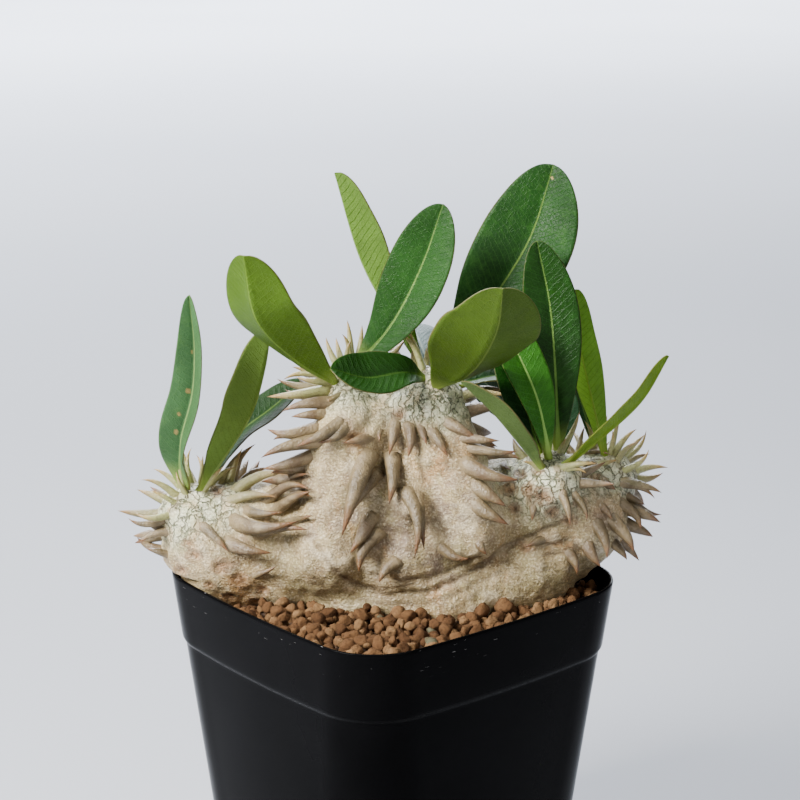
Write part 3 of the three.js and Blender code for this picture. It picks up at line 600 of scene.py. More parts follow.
# Detail of the skin, placed by the photograph's pixels. First the folds under the heads and in the cleft, and
# short streaks.
SMILE_FOLD = [(345, 580), (385, 597), (430, 592), (480, 568), (507, 547), (530, 537), (561, 524)]
UPPER_FOLD = [(372, 574), (400, 582), (430, 577), (455, 568), (480, 556)]
INNER_FOLD = [(366, 588), (392, 590), (425, 582), (452, 571), (470, 560)]
FOLD_START = [(318, 545), (330, 564), (345, 580)]
LOW_FOLD = [(360, 599), (386, 605), (420, 606), (462, 592), (500, 572)]
CLEFT = [(394, 450), (387, 500), (390, 560)]
LOBE_VALLEY = [(318, 500), (312, 540), (318, 575), (326, 606)]
STREAKS = [
    [(413, 430), (419, 455), (425, 480)], [(438, 430), (446, 452), (449, 470)], [(402, 436), (399, 462)],
    [(352, 436), (347, 458), (349, 476)], [(455, 445), (463, 462)], [(386, 515), (410, 518)],
    [(384, 530), (412, 535)], [(388, 546), (410, 550)], [(540, 545), (566, 538)], [(545, 556), (580, 548)],
]
# Each groove: line, width in pixels, depth in millimetres.
GROOVES = [
    (SMILE_FOLD, 3.0, 1.3), (UPPER_FOLD, 2.2, 0.8), (INNER_FOLD, 2.0, 0.6), (LOW_FOLD, 1.8, 0.4),
    (FOLD_START, 2.6, 0.5), (CLEFT, 15.0, 2.0), (LOBE_VALLEY, 9.0, 0.4),
] + [(line, 2.0, 0.5) for line in STREAKS]
# Grooves WIDE_GROOVE pixels wide or more get only WIDE_SHADE of the painted shade in the fold mask.
WIDE_GROOVE = 8
WIDE_SHADE = 0.25
# Patches of colour: x, y and radius in pixels.
RUST = [
    (430, 462, 20), (405, 428, 14), (468, 446, 14), (200, 535, 24), (236, 596, 22), (440, 600, 16),
    (352, 444, 12), (560, 545, 14), (585, 500, 16), (620, 500, 14), (345, 380, 14), (300, 395, 16),
]
MAUVE = [(395, 540, 42), (440, 572, 26), (455, 506, 34), (300, 480, 18), (350, 520, 20), (600, 520, 16)]
# Scar pits: x, y and radius in pixels. A pit's rim stands a little outside of its radius.
SCARS = [
    (195, 555, 7), (222, 566, 8), (181, 571, 6), (240, 580, 8), (256, 606, 8), (229, 597, 6), (205, 474, 6),
    (217, 494, 6), (509, 489, 7), (543, 496, 9), (530, 489, 6), (533, 455, 5), (595, 481, 6), (355, 438, 6),
    (527, 547, 6), (570, 520, 6), (400, 415, 6), (520, 474, 5), (552, 512, 6), (538, 470, 5), (580, 502, 5),
    (515, 508, 5), (590, 468, 5), (210, 585, 5), (188, 543, 5), (262, 592, 6),
]
SCAR_DEPTH = 0.55
SCAR_POWER = 4
SCAR_SQUASH = 1.3
SCAR_RIM = 0.35
RIM_PLACE, RIM_WIDTH = 1.15, 0.3
RIM_SHADE = 0.75
# Lumps of the whole skin: frequency per millimetre and height. LUMP_NOISE is the fractal's roughness, the
# step from one octave to the next and their number.
LUMP_SCALE, LUMP_HEIGHT = 0.07, 0.8
LUMP_NOISE = (0.9, 2.1, 4)
GRAIN_SCALE, GRAIN_HEIGHT = 0.42, 0.3
WART_SCALE, WART_HEIGHT = 0.2, 0.5
WART_SHIFT = Vector((9, 3, 5))
WART_DIP = -0.2
# LUMP_SHADE and GRAIN_SHADE weigh lumps, grain and warts in the relief mask, which paints shade in the skin's
# hollows and highlight on its rises.
LUMP_SHADE, GRAIN_SHADE = 0.5, 0.35
# The ridge that a spine stands on, against the spine's own size, and the reach of the painted shade round its
# root.
RIDGE_BACK = 0.4
RIDGE_SHARE = 0.3
RIDGE_HEIGHT = 0.3
RIDGE_WIDTH = 0.8
RIDGE_POWER = 2.4
RIDGE_REACH = 22
ROOT_SHADE_REACH = 2.6
# Where each effect fades: the view's slant, away from a growing tip, by height, and near the rim and wall.
SEEN_REACH = (0.0, 0.3)
CROWN_REACH = (11, 24)
LOW_REACH = (104, 128)
RIM_REACH = (POT_HEIGHT - 1, POT_HEIGHT + 3)
WALL_REACH = (0.4, 2.0)


def polyline_gap(places, line):
    """Distance in pixels from places to a line of points."""
    best = np.full(len(places), FAR_AWAY)
    for start, end in zip(line, line[1:]):
        best = np.minimum(best, segment_gap(places, start, end)[0])
    return best


def patches(places, spots, seen):
    """How much each place lies in a spot of pixels, from 0 to 1."""
    share = np.zeros(len(places))
    for x, y, radius in spots:
        gap = np.linalg.norm(places - (x, y), axis=1) / radius
        share = np.maximum(share, seen * np.exp(-gap ** 2))
    return share


def sculpt(points, spines):
    """Lumps, a ridge under each spine, grooves and scar pits. Returns the points and masks."""
    out = unit(slope(points))
    facing = (out * unit(EYE - points)).sum(1)
    seen = smoothstep(*SEEN_REACH, facing)
    places = pixels_of(points)
    lumps = np.array([noise.fractal(Vector(p * LUMP_SCALE), *LUMP_NOISE) for p in points])
    grain = np.array([noise.noise(Vector(p * GRAIN_SCALE)) for p in points])
    warts = np.array([noise.noise(Vector(p * WART_SCALE) + WART_SHIFT) for p in points])
    lift = LUMP_HEIGHT * lumps + GRAIN_HEIGHT * grain + WART_HEIGHT * np.clip(warts, WART_DIP, 1)
    ridge = np.zeros(len(points))
    mound = np.zeros(len(points))
    for _, tip, radius, _, root, _ in spines:
        near = np.linalg.norm(points - root, axis=1) < RIDGE_REACH
        spots = points[near]
        back = root - (tip - root) * RIDGE_BACK
        gap = segment_gap(spots, back, root + (tip - root) * RIDGE_SHARE)[0] / (radius * 2 * RIDGE_WIDTH)
        shape = np.exp(-gap ** RIDGE_POWER)
        ridge[near] = np.maximum(ridge[near], 2 * radius * RIDGE_HEIGHT * shape)
        # Painted shade round the spine's root, where it leaves the skin.
        away = np.linalg.norm(spots - root, axis=1) / ROOT_SHADE_REACH
        mound[near] = np.maximum(mound[near], np.exp(-away ** 2))
    lift += ridge
    # The fold mask paints shade along the grooves, weaker in the wide ones.
    fold = np.zeros(len(points))
    for line, width, depth in GROOVES:
        groove = seen * np.exp(-(polyline_gap(places, line) / width) ** 2)
        lift -= depth * groove
        fold = np.maximum(fold, groove * (1 if width < WIDE_GROOVE else WIDE_SHADE))
    scar = np.zeros(len(points))
    for x, y, radius in SCARS:
        gap = np.linalg.norm((places - (x, y)) * (1, SCAR_SQUASH), axis=1) / radius
        pit = seen * np.exp(-gap ** SCAR_POWER)
        rim = seen * np.exp(-((gap - RIM_PLACE) / RIM_WIDTH) ** 2)
        lift += SCAR_RIM * rim - SCAR_DEPTH * pit
        scar = np.maximum(scar, np.maximum(pit, RIM_SHADE * rim))
    tip_gap = np.min([np.linalg.norm(points - place, axis=1) for place, _, _ in TIPS], axis=0)
    crown = 1 - smoothstep(*CROWN_REACH, tip_gap)
    low = 1 - smoothstep(*LOW_REACH, points[:, 2])
    free = smoothstep(*RIM_REACH, points[:, 2])
    inside = smoothstep(*WALL_REACH, -wall_distance(points) - WALL_ROOM)
    lift = np.where(lift > 0, lift * np.maximum(free, inside), lift)
    # Painted shade and highlight: the relief mask is low in the hollows of the lumps, grain and warts and
    # high on their rises.
    relief = 0.5 + LUMP_SHADE * lumps + GRAIN_SHADE * grain + GRAIN_SHADE * warts
    masks = {"fold": fold, "scar": scar, "crown": crown, "low": low, "mound": mound, "relief": relief,
             "rust": patches(places, RUST, seen), "mauve": patches(places, MAUVE, seen)}
    return points + out * lift[:, None], masks


# Leaves, leaf_01 first: rib from the seat to the tip, width, fold in degrees, where the upper side looks at
# the base and, if it turns, at the tip, and where the blade is widest if not at WIDEST_SHARE.
WIDEST_SHARE = 0.62
LEAVES = [
    ([(-61, 0, 137.5), (-61, -5, 151.5), (-57, -8, 167.5), (-56, -9, 181), (-57, -11, 197)],
     14, 38, (-0.75, -0.65, 0), (-0.3, -0.95, 0), 0.4),
    ([(-57, -2, 135.5), (-50, -1, 145.5), (-41.5, 3, 158.5), (-37.5, 6, 171), (-35.5, 9, 183)],
     20, 32, (-0.85, 0.5, 0.3)),
    ([(-17, -3, 170), (-26, -12, 178), (-37, -24, 193), (-40, -30, 212)],
     24, 22, (0.5, 0.8, 0.35), (0.4, 0.9, 0.35)),
    ([(-54, 4, 137.5), (-46, 14, 148.5), (-35.5, 21, 155.5), (-26.5, 26, 162.5)], 13, 20, (-0.4, -0.6, 0.7)),
    ([(10, 6, 170), (2, 9, 184), (-8, 12, 202), (-16, 14, 228)], 19, 32, (0.85, 0.5, 0.2)),
    ([(-10, 2, 173), (0, 2, 185), (9, 1, 203), (15, 0, 221)], 20, 15, (-0.4, -0.85, 0.4), (-0.3, -0.9, 0.2)),
    ([(9, -4.5, 171), (4, -10, 174), (-7, -16, 174), (-17, -21, 178)],
     15, 24, (0.8, -0.4, 0.5), (0.1, -0.7, 0.7)),
    ([(14, -8, 170), (21, -20, 176), (26, -31, 185), (29, -37, 194), (30, -40, 205)],
     32, 20, (-0.2, 0.7, 1), (-0.1, 0.8, 0), 0.6),
    ([(43, -11, 147), (37, -15, 155), (29, -18, 165), (20, -20, 174)], 14, 20, (0.6, 0.35, 0.7)),
    ([(16, 5, 170), (30, 10, 191), (41, 14, 209), (47.5, 16, 230)],
     29, 12, (-0.3, -0.9, 0.3), (-0.2, -0.9, 0.2)),
    ([(21, 3, 167), (29, 8, 168), (38, 12, 168), (47, 16, 171)], 13, 18, (0, -0.3, 1)),
    ([(62, 17, 143), (57, 22, 158), (53, 26, 173), (53, 27, 187)], 9, 18, (0.7, -0.7, 0), (0.7, -0.7, 0.1)),
    ([(49, -3, 147), (48, 0, 170), (46, 2, 191.5), (42, 2, 210)], 17, 15, (0.05, -1, 0.05)),
    ([(45.5, -7.5, 149), (42, -9.5, 166), (35, -8, 182), (29, -4, 194)], 13, 15, (0.3, -0.9, 0.2)),
    ([(43, -5, 148), (40, -5, 159.5), (36, -4, 171), (31, -3, 180.5)], 13, 15, (0.2, -0.9, 0.3)),
    ([(64, 9, 143), (62, 9, 152), (58, 8, 168), (55, 7, 181), (54, 6, 195)], 11, 28, (0.2, 0.97, 0.1)),
    ([(51, -9.5, 147), (61, -14, 157), (71, -17, 168), (78, -18, 181)], 12, 20, (-0.6, 0.3, 0.7)),
    ([(50, 3, 147), (51, 12, 156), (47, 21, 163), (43, 30, 170)], 13, 15, (0, -1, 0.3)),
    ([(41, 18, 151), (35, 26, 155), (28, 32, 161), (20, 36, 166)], 12, 18, (-0.3, -0.7, 0.6)),
    ([(13, 8, 168), (10, 16, 173), (8, 26, 176), (6, 36, 177)], 12, 18, (0, -0.35, 0.93)),
]
# Tan spots by the leaf's number: x, y and radius in the photograph's pixels.
LEAF_SPOTS = {
    1: [(188, 391, 3.2), (179, 414, 2.6), (176, 432, 3.0), (192, 352, 2.0)],
    10: [(552, 178, 2.2), (541, 186, 1.8)],
}
LEAF_SEAT = 2.0
SEAT_START = 4
SEAT_STEP = 0.1
SEAT_STEPS = 140
RIB_SAMPLES = 80
RIB_STEPS = 600
PETIOLE_WIDTH = 2.4
PETIOLE_SHARE = 0.25
PETIOLE_ROUND = 0.9
TIP_HALF = 0.12
BLADE_ROWS = 84
BLADE_COLUMNS = 10
ROW_CROWDING, COLUMN_CROWDING = 1.25, 0.9
BLADE_THICKNESS = 0.75
EDGE_THICKNESS = 0.4
# The midrib: half width from base to tip, a groove on the upper side and a ridge on the lower.
RIB_WIDTHS = (0.42, 0.16)
RIB_FLARE = 0.6
RIB_GROOVE = 0.22
RIB_RIDGES = (0.8, 0.15)
# Side veins in a quilted blade, its waves and its cupping, which go with its half width.
VEIN_PITCH = 2.2
VEIN_SLANT = 0.75
QUILT_HEIGHT = 0.09
WAVE_TURN = 6
WAVE_COUNTS = (2.2, 3.4)
WAVE_HEIGHT = 0.022
WAVE_OFFSET = 2
CUP_HEIGHT = 0.1
TIP_POWER, BASE_POWER = 0.5, 0.7
LEAF_SEED = 99


def blade_shape(share, widest):
    """The blade's half width against its greatest."""
    stretch = math.log(0.5) / math.log(widest)
    wave = np.sin(math.pi * np.clip(share, 0, 1) ** stretch)
    return np.clip(wave, 0, 1) ** np.where(share > widest, TIP_POWER, BASE_POWER)


def rib_curve(points):
    """The part's curve through the rib's points, at even steps of its length, with its directions."""
    points = np.array(points, float)
    padded = np.vstack([2 * points[0] - points[1], points, 2 * points[-1] - points[-2]])
    samples = []
    for i in range(len(points) - 1):
        p0, p1, p2, p3 = padded[i:i + 4]
        d0, d1, d2 = (np.linalg.norm(b - a) ** 0.5 for a, b in ((p0, p1), (p1, p2), (p2, p3)))
        t1 = ((p1 - p0) / d0 - (p2 - p0) / (d0 + d1) + (p2 - p1) / d1) * d1
        t2 = ((p2 - p1) / d1 - (p3 - p1) / (d1 + d2) + (p3 - p2) / d2) * d1
        t = np.linspace(0, 1, RIB_SAMPLES, endpoint=False)[:, None]
        square, cube = 3 * (p2 - p1) - 2 * t1 - t2, 2 * (p1 - p2) + t1 + t2
        samples.append(p1 + t1 * t + square * t ** 2 + cube * t ** 3)
    samples = np.vstack(samples + [points[-1:]])
    steps = np.concatenate([[0], np.cumsum(np.linalg.norm(np.diff(samples, axis=0), axis=1))])
    even = np.linspace(0, steps[-1], RIB_STEPS)
    curve = np.stack([np.interp(even, steps, samples[:, axis]) for axis in range(3)], -1)
    return curve, unit(np.gradient(curve, axis=0)), steps[-1]


def seated(points):
    """The rib starts sunk in the caudex, where its own line reaches the seat's depth."""
    first = np.array(points[0], float)
    along = unit(np.array(points[1], float) - first)
    first = first + along * SEAT_START
    for _ in range(SEAT_STEPS):
        if caudex_distance(first)[0] <= -LEAF_SEAT:
            break
        first = first - along * SEAT_STEP
    return [first] + [np.array(p, float) for p in points[1:]]


def leaf_mesh(seed, rib, width, fold_degrees, face_from, face_to=None, widest=WIDEST_SHARE):
    """A folded blade with rounded edges, a midrib and slight waves. Returns points, faces and masks."""
    draw = seeded(seed)
    curve, directions, length = rib_curve(seated(rib))
    rows = 1 - (1 - np.linspace(0, 1, BLADE_ROWS)) ** ROW_CROWDING
    columns = np.linspace(-1, 1, 2 * BLADE_COLUMNS + 1)
    columns = np.sign(columns) * np.abs(columns) ** COLUMN_CROWDING
    columns = np.concatenate([columns, columns[::-1]])
    upper = np.repeat([1, 0], len(columns) // 2)
    out = np.abs(columns)
    wave_turn, wave_count = draw() * WAVE_TURN, mix(*WAVE_COUNTS, draw())
    rings, data = [], []
    for share in rows:
        at = share * (len(curve) - 1)
        low = min(int(at), len(curve) - 2)
        middle = mix(curve[low], curve[low + 1], at - low)
        along = unit(mix(directions[low], directions[low + 1], at - low))
        face = mix(np.array(face_from, float), np.array(face_to or face_from, float), share)
        face = unit(face - (face @ along) * along)
        side = np.cross(along, face)
        petiole = max(1 - share / PETIOLE_SHARE, 0)
        body = 1 - petiole
        least = PETIOLE_WIDTH / 2 if share < 0.5 else TIP_HALF
        half = max(width / 2 * float(blade_shape(share, widest)), least)
        fold = math.radians(fold_degrees) * body
        rib_wide = mix(*RIB_WIDTHS, share) + RIB_FLARE * petiole
        reach = out * half
        blade = mix(BLADE_THICKNESS, EDGE_THICKNESS, out) / 2
        stalk = PETIOLE_WIDTH / 2 * np.sqrt(1 - PETIOLE_ROUND * out ** 2)
        vein = (share * length - VEIN_SLANT * reach) / VEIN_PITCH
        quilt = QUILT_HEIGHT * np.cos(2 * math.pi * vein) * np.sin(math.pi * out)
        swing = wave_turn + 2 * math.pi * wave_count * share + WAVE_OFFSET * (columns > 0)
        wave = WAVE_HEIGHT * half * out ** 2 * np.sin(swing)
        cup = CUP_HEIGHT * half * (out - out ** 2)
        ridge = np.exp(-(reach / rib_wide) ** 2) * np.where(upper, -RIB_GROOVE, mix(*RIB_RIDGES, share))
        rise = reach * math.sin(fold) + body * (quilt + wave + cup)
        rise += (2 * upper - 1) * (mix(blade, stalk, petiole) + body * ridge)
        rings.append(middle + (columns * half * math.cos(fold))[:, None] * side + rise[:, None] * face)
        data.append((reach / rib_wide, vein, upper, np.full(len(columns), share), out))
    points, faces = loft(rings)
    masks = dict(zip(("rib", "vein", "upper", "share", "out"), np.hstack(data)))
    return points, [face[::-1] for face in faces], masks


# Granules
GRANULE_SEED = 7
# Each layer: pitch, least and greatest height over the soil, least and greatest radius, fineness and seed.
GRANULE_LAYERS = {
    "granules_low": (3.2, 0.0, 1.6, 1.4, 2.0, 2, GRANULE_SEED),
    "granules_top": (5.4, 1.6, 3.2, 1.5, 2.5, 3, GRANULE_SEED + 1),
}
GRANULE_STRAY = 0.8
GRANULE_STRETCH = (0.82, 1.2)
GRANULE_CUTS = 9
CUT_DEPTHS = (0.6, 0.88)
LEAST_FACING = 0.05
# Waves on a grain: their number, greatest frequency, and height against the grain's radius. The turns of a
# grain and of its waves are drawn from nought to FULL_TURN.
GRANULE_WAVES = 4
WAVE_REACH = 5.12
WAVE_LIFT = 0.035
FULL_TURN = 6.28
# How clear of the wall, and how deep in the caudex against its own radius, a grain may stand.
GRANULE_CLEAR = 0.2
GRANULE_SINK = 0.55


def ball(levels):
    """A ball of triangles with a radius of one."""
    shape = bmesh.new()
    bmesh.ops.create_icosphere(shape, subdivisions=levels, radius=1)
    points = np.array([tuple(v.co) for v in shape.verts])
    faces = np.array([[v.index for v in f.verts] for f in shape.faces])
    shape.free()
    return points, faces


def granules(pitch, low, high, small, large, levels, seed):
    """Lumpy grains over the soil where neither the caudex nor the pot's wall stands, in the plant frame."""
    rng = np.random.default_rng(seed)
    ball_points, ball_faces = ball(levels)
    points, faces, tones, total = [], [], [], 0
    reach = RIM_SIDE / 2
    for x in np.arange(-reach, reach, pitch):
        for y in np.arange(-reach, reach, pitch):
            gx, gy = x + pitch * rng.uniform(0, GRANULE_STRAY), y + pitch * rng.uniform(0, GRANULE_STRAY)
            size = rng.uniform(small, large)
            z = SOIL_TOP + rng.uniform(low, high)
            shape = rng.uniform(*GRANULE_STRETCH, 3)
            turn = rng.uniform(0, FULL_TURN)
            turn = Matrix.Rotation(turn, 3, Vector(rng.uniform(-1, 1, 3)).normalized())
            waves = rng.uniform(-WAVE_REACH, WAVE_REACH, (GRANULE_WAVES, 3))
            turns = rng.uniform(0, FULL_TURN, GRANULE_WAVES)
            tone = rng.uniform(0, 1)
            place = np.array([*turned_plan(gx, gy, -PLANT_TURN), z])
            wall, body = wall_distance(place[None])[0], caudex_distance(place)[0]
            if wall > -size - GRANULE_CLEAR or body < GRANULE_SINK * size:
                continue
            cuts = unit(rng.normal(size=(GRANULE_CUTS, 3)))
            depths = rng.uniform(*CUT_DEPTHS, GRANULE_CUTS)
            cut = np.minimum(np.min(depths / np.maximum(ball_points @ cuts.T, LEAST_FACING), axis=1), 1)
            lumps = cut + WAVE_LIFT * np.sin(ball_points @ waves.T + turns).sum(1)
            grain = (ball_points * lumps[:, None] * shape * size) @ np.array(turn).T
            points.append(grain + place)
            faces.append(ball_faces + total)
            tones.append(np.full(len(grain), tone))
            total += len(grain)
    return np.vstack(points), np.vstack(faces), np.concatenate(tones)


# Pot outline, from its foot to the rim and down inside: heights and how far in from the outer side.
HALF_SLOPE = COLLAR_SLOPE / 2
FOOT_EDGE = [(0, BASE_CHAMFER), (0.25, 0.45), (0.6, 0.12), (BASE_CHAMFER, 0)]
SKIRT_LEVELS = np.linspace(8, LEDGE - HALF_SLOPE - 1, 9)
LEDGE_EDGE = [(LEDGE - HALF_SLOPE, 0), (LEDGE - 0.4, -0.05), (LEDGE + 0.1, 0.35), (LEDGE + HALF_SLOPE, 0.05)]
COLLAR_LEVELS = np.linspace(LEDGE + HALF_SLOPE + 0.8, POT_HEIGHT - 1.2, 5)
LIP_EDGE = [
    (POT_HEIGHT - 0.5, 0.02), (POT_HEIGHT - 0.18, 0.12), (POT_HEIGHT, POT_LIP),
    (POT_HEIGHT, POT_WALL - POT_LIP), (POT_HEIGHT - 0.18, POT_WALL - 0.12),
]
INNER_LEVELS = [POT_HEIGHT - 0.5, LEDGE + HALF_SLOPE, LEDGE - HALF_SLOPE, 60, 30, POT_FLOOR]
SIDE_STEPS, CORNER_STEPS = 17, 15
HOLE_SIDES = 32


def pot_ring(side, corner, z):
    """A square ring with round corners and sides that bow out a little, in the part's frame."""
    half = side / 2
    straight = half - corner
    ring = []
    for quarter in range(4):
        turn = quarter * math.pi / 2
        row = []
        for share in np.linspace(-1, 1, SIDE_STEPS)[1:-1]:
            bulge = POT_BOW * (1 - share * share)
            row.append((half + bulge, share * straight))
        for angle in np.linspace(0, math.pi / 2, CORNER_STEPS):
            row.append((straight + corner * math.cos(angle), straight + corner * math.sin(angle)))
        for x, y in row:
            ring.append((*turned_plan(x, y, turn), z))
    return ring


def pot_at(z, inset):
    """The pot's outline at a height, moved in from its outer side."""
    share = z / POT_HEIGHT
    inwards = inset + (COLLAR_STEP if z < LEDGE else 0)
    side = mix(BASE_SIDE, RIM_SIDE, share) - 2 * inwards
    return pot_ring(side, mix(BASE_CORNER, RIM_CORNER, share) - inwards, z)


def pot_mesh():
    skirt = [(z, 0) for z in SKIRT_LEVELS]
    collar = [(z, 0) for z in COLLAR_LEVELS]
    inner = [(z, POT_WALL) for z in INNER_LEVELS]
    outline = FOOT_EDGE + skirt + LEDGE_EDGE + collar + LIP_EDGE + inner
    return loft([pot_at(z, inset) for z, inset in outline])


def make_pot():
    points, faces = pot_mesh()
    pot = make_object("pot_shell", points * MM, faces)
    for x, y in ((1, 1), (-1, 1), (-1, -1), (1, -1)):
        place = (x * HOLE_REACH * MM, y * HOLE_REACH * MM, 0)
        bpy.ops.mesh.primitive_cylinder_add(vertices=HOLE_SIDES, radius=HOLE_RADIUS * MM,
                                            depth=4 * POT_FLOOR * MM, location=place)
        cutter = bpy.context.object
        cut = pot.modifiers.new("hole", "BOOLEAN")
        cut.operation = "DIFFERENCE"
        cut.solver = "MANIFOLD"
        cut.object = cutter
        bpy.context.view_layer.objects.active = pot
        bpy.ops.object.modifier_apply(modifier=cut.name)
        bpy.data.objects.remove(cutter)
    return pot


# Materials
class Paint:
    """A short way to write a node material."""

    def __init__(self, name):
        self.material = bpy.data.materials.new(name)
        self.material.use_nodes = True
        self.tree = self.material.node_tree
        self.shader = self.tree.nodes["Principled BSDF"]
        self.place = self.add("ShaderNodeTexCoord", {}, "Object")

    def feed(self, socket, value):
        """A link, a colour or a plain value for a socket."""
        if isinstance(value, bpy.types.NodeSocket):
            self.tree.links.new(value, socket)
        elif isinstance(value, tuple) and len(socket.default_value) > len(value):
            socket.default_value = (*value, 1)
        else:
            socket.default_value = value

    def add(self, kind, inputs, out=0, **settings):
        """One output of a new node. Its inputs go by name or by their place in the node's list."""
        node = self.tree.nodes.new(kind)
        for key, value in settings.items():
            setattr(node, key, value)
        for key, value in inputs.items():
            self.feed(node.inputs[key], value)
        return node.outputs[out]

    def attribute(self, name):
        return self.add("ShaderNodeAttribute", {}, "Fac", attribute_name=name)

    def noise(self, scale, detail=4.0, roughness=0.55, distortion=0.0, place=None, out="Fac"):
        inputs = {"Vector": place or self.place, "Scale": scale, "Detail": detail, "Roughness": roughness,
                  "Distortion": distortion}
        return self.add("ShaderNodeTexNoise", inputs, out)

    def voronoi(self, scale, feature="F1", place=None, out="Distance"):
        inputs = {"Vector": place or self.place, "Scale": scale}
        return self.add("ShaderNodeTexVoronoi", inputs, out, feature=feature)

    def span(self, value, low, high, to_low=0.0, to_high=1.0):
        """How far a value has come from low to high, eased, as a number between two others."""
        inputs = {0: value, 1: low, 2: high, 3: to_low, 4: to_high}
        return self.add("ShaderNodeMapRange", inputs, interpolation_type="SMOOTHSTEP")

    def combine(self, operation, a, b):
        return self.add("ShaderNodeMath", {0: a, 1: b}, operation=operation)

    def times(self, a, b):
        return self.combine("MULTIPLY", a, b)

    def mix(self, share, a, b):
        return self.add("ShaderNodeMix", {0: share, 6: a, 7: b}, 2, data_type="RGBA")

    def coats(self, colour, *rows):
        """Coats of paint over a colour: each one's mask, strength and colour."""
        for mask, strength, coat in rows:
            colour = self.mix(self.times(mask, strength), colour, coat)
        return colour

    def bump(self, height, strength, distance):
        return self.add("ShaderNodeBump", {"Height": height, "Strength": strength, "Distance": distance})

    def shaken(self, scale, reach, place):
        """The place, pushed about by a noise."""
        push = self.noise(scale, 3.0, 0.5, out="Color")
        push = self.add("ShaderNodeVectorMath", {0: push, 1: (0.5, 0.5, 0.5)}, operation="SUBTRACT")
        push = self.add("ShaderNodeVectorMath", {0: push, "Scale": reach * 2}, operation="SCALE")
        return self.add("ShaderNodeVectorMath", {0: place, 1: push}, operation="ADD")

    def stretched(self, x, y, z):
        return self.add("ShaderNodeMapping", {"Vector": self.place, "Scale": (x, y, z)})

    def set(self, **values):
        for key, value in values.items():
            self.feed(self.shader.inputs[key.replace("_", " ")], value)
        return self.material


def pot_material():
    p = Paint("black_plastic")
    streak = p.noise(30, 4, place=p.stretched(1, 1, 9))
    scratch = p.noise(260, 2, 0.4, place=p.stretched(1, 1, 14))
    near_rim = p.span(p.add("ShaderNodeSeparateXYZ", {0: p.place}, "Z"), 0.1, 0.1095)
    colour = p.mix(p.span(p.noise(28, 3), 0.3, 0.7), (0.0016, 0.0016, 0.0018), (0.0026, 0.0026, 0.003))
    colour = p.mix(p.times(p.span(scratch, 0.745, 0.775), near_rim), colour, (0.35, 0.34, 0.33))
    rough = p.add("ShaderNodeMapRange", {0: streak, 1: 0.3, 2: 0.7, 3: 0.15, 4: 0.22})
    wavy = p.bump(p.noise(16, 2), 0.1, 0.004)
    return p.set(Base_Color=colour, Roughness=rough, Normal=wavy, Specular_IOR_Level=0.022)


def granule_material():
    p = Paint("granules")
    tone = p.attribute("tone")
    speck = p.span(p.voronoi(1900), 0.1, 0.28, 1, 0)
    colour = p.mix(p.span(tone, 0.0, 0.5), (0.08, 0.037, 0.014), (0.145, 0.072, 0.029))
    colour = p.coats(
        colour,
        (p.span(tone, 0.55, 0.85), 1, (0.225, 0.128, 0.056)),
        (p.span(tone, 0.985, 0.99), 1, (0.12, 0.12, 0.07)),
        (p.span(p.noise(420, 3), 0.35, 0.7), 0.5, (0.08, 0.035, 0.015)),
        (speck, 0.55, (0.05, 0.025, 0.012)),
    )
    rise = p.combine("ADD", p.noise(1300, 5, 0.65), p.times(speck, -0.5))
    return p.set(Base_Color=colour, Roughness=0.92, Normal=p.bump(rise, 0.8, 0.0008), Specular_IOR_Level=0.2)


def soil_material():
    p = Paint("soil")
    tone = p.add("ShaderNodeSeparateColor", {0: p.voronoi(330, out="Color")})
    colour = p.mix(tone, (0.05, 0.025, 0.012), (0.14, 0.075, 0.035))
    return p.set(Base_Color=colour, Roughness=0.95, Normal=p.bump(p.voronoi(330), 0.9, 0.003))


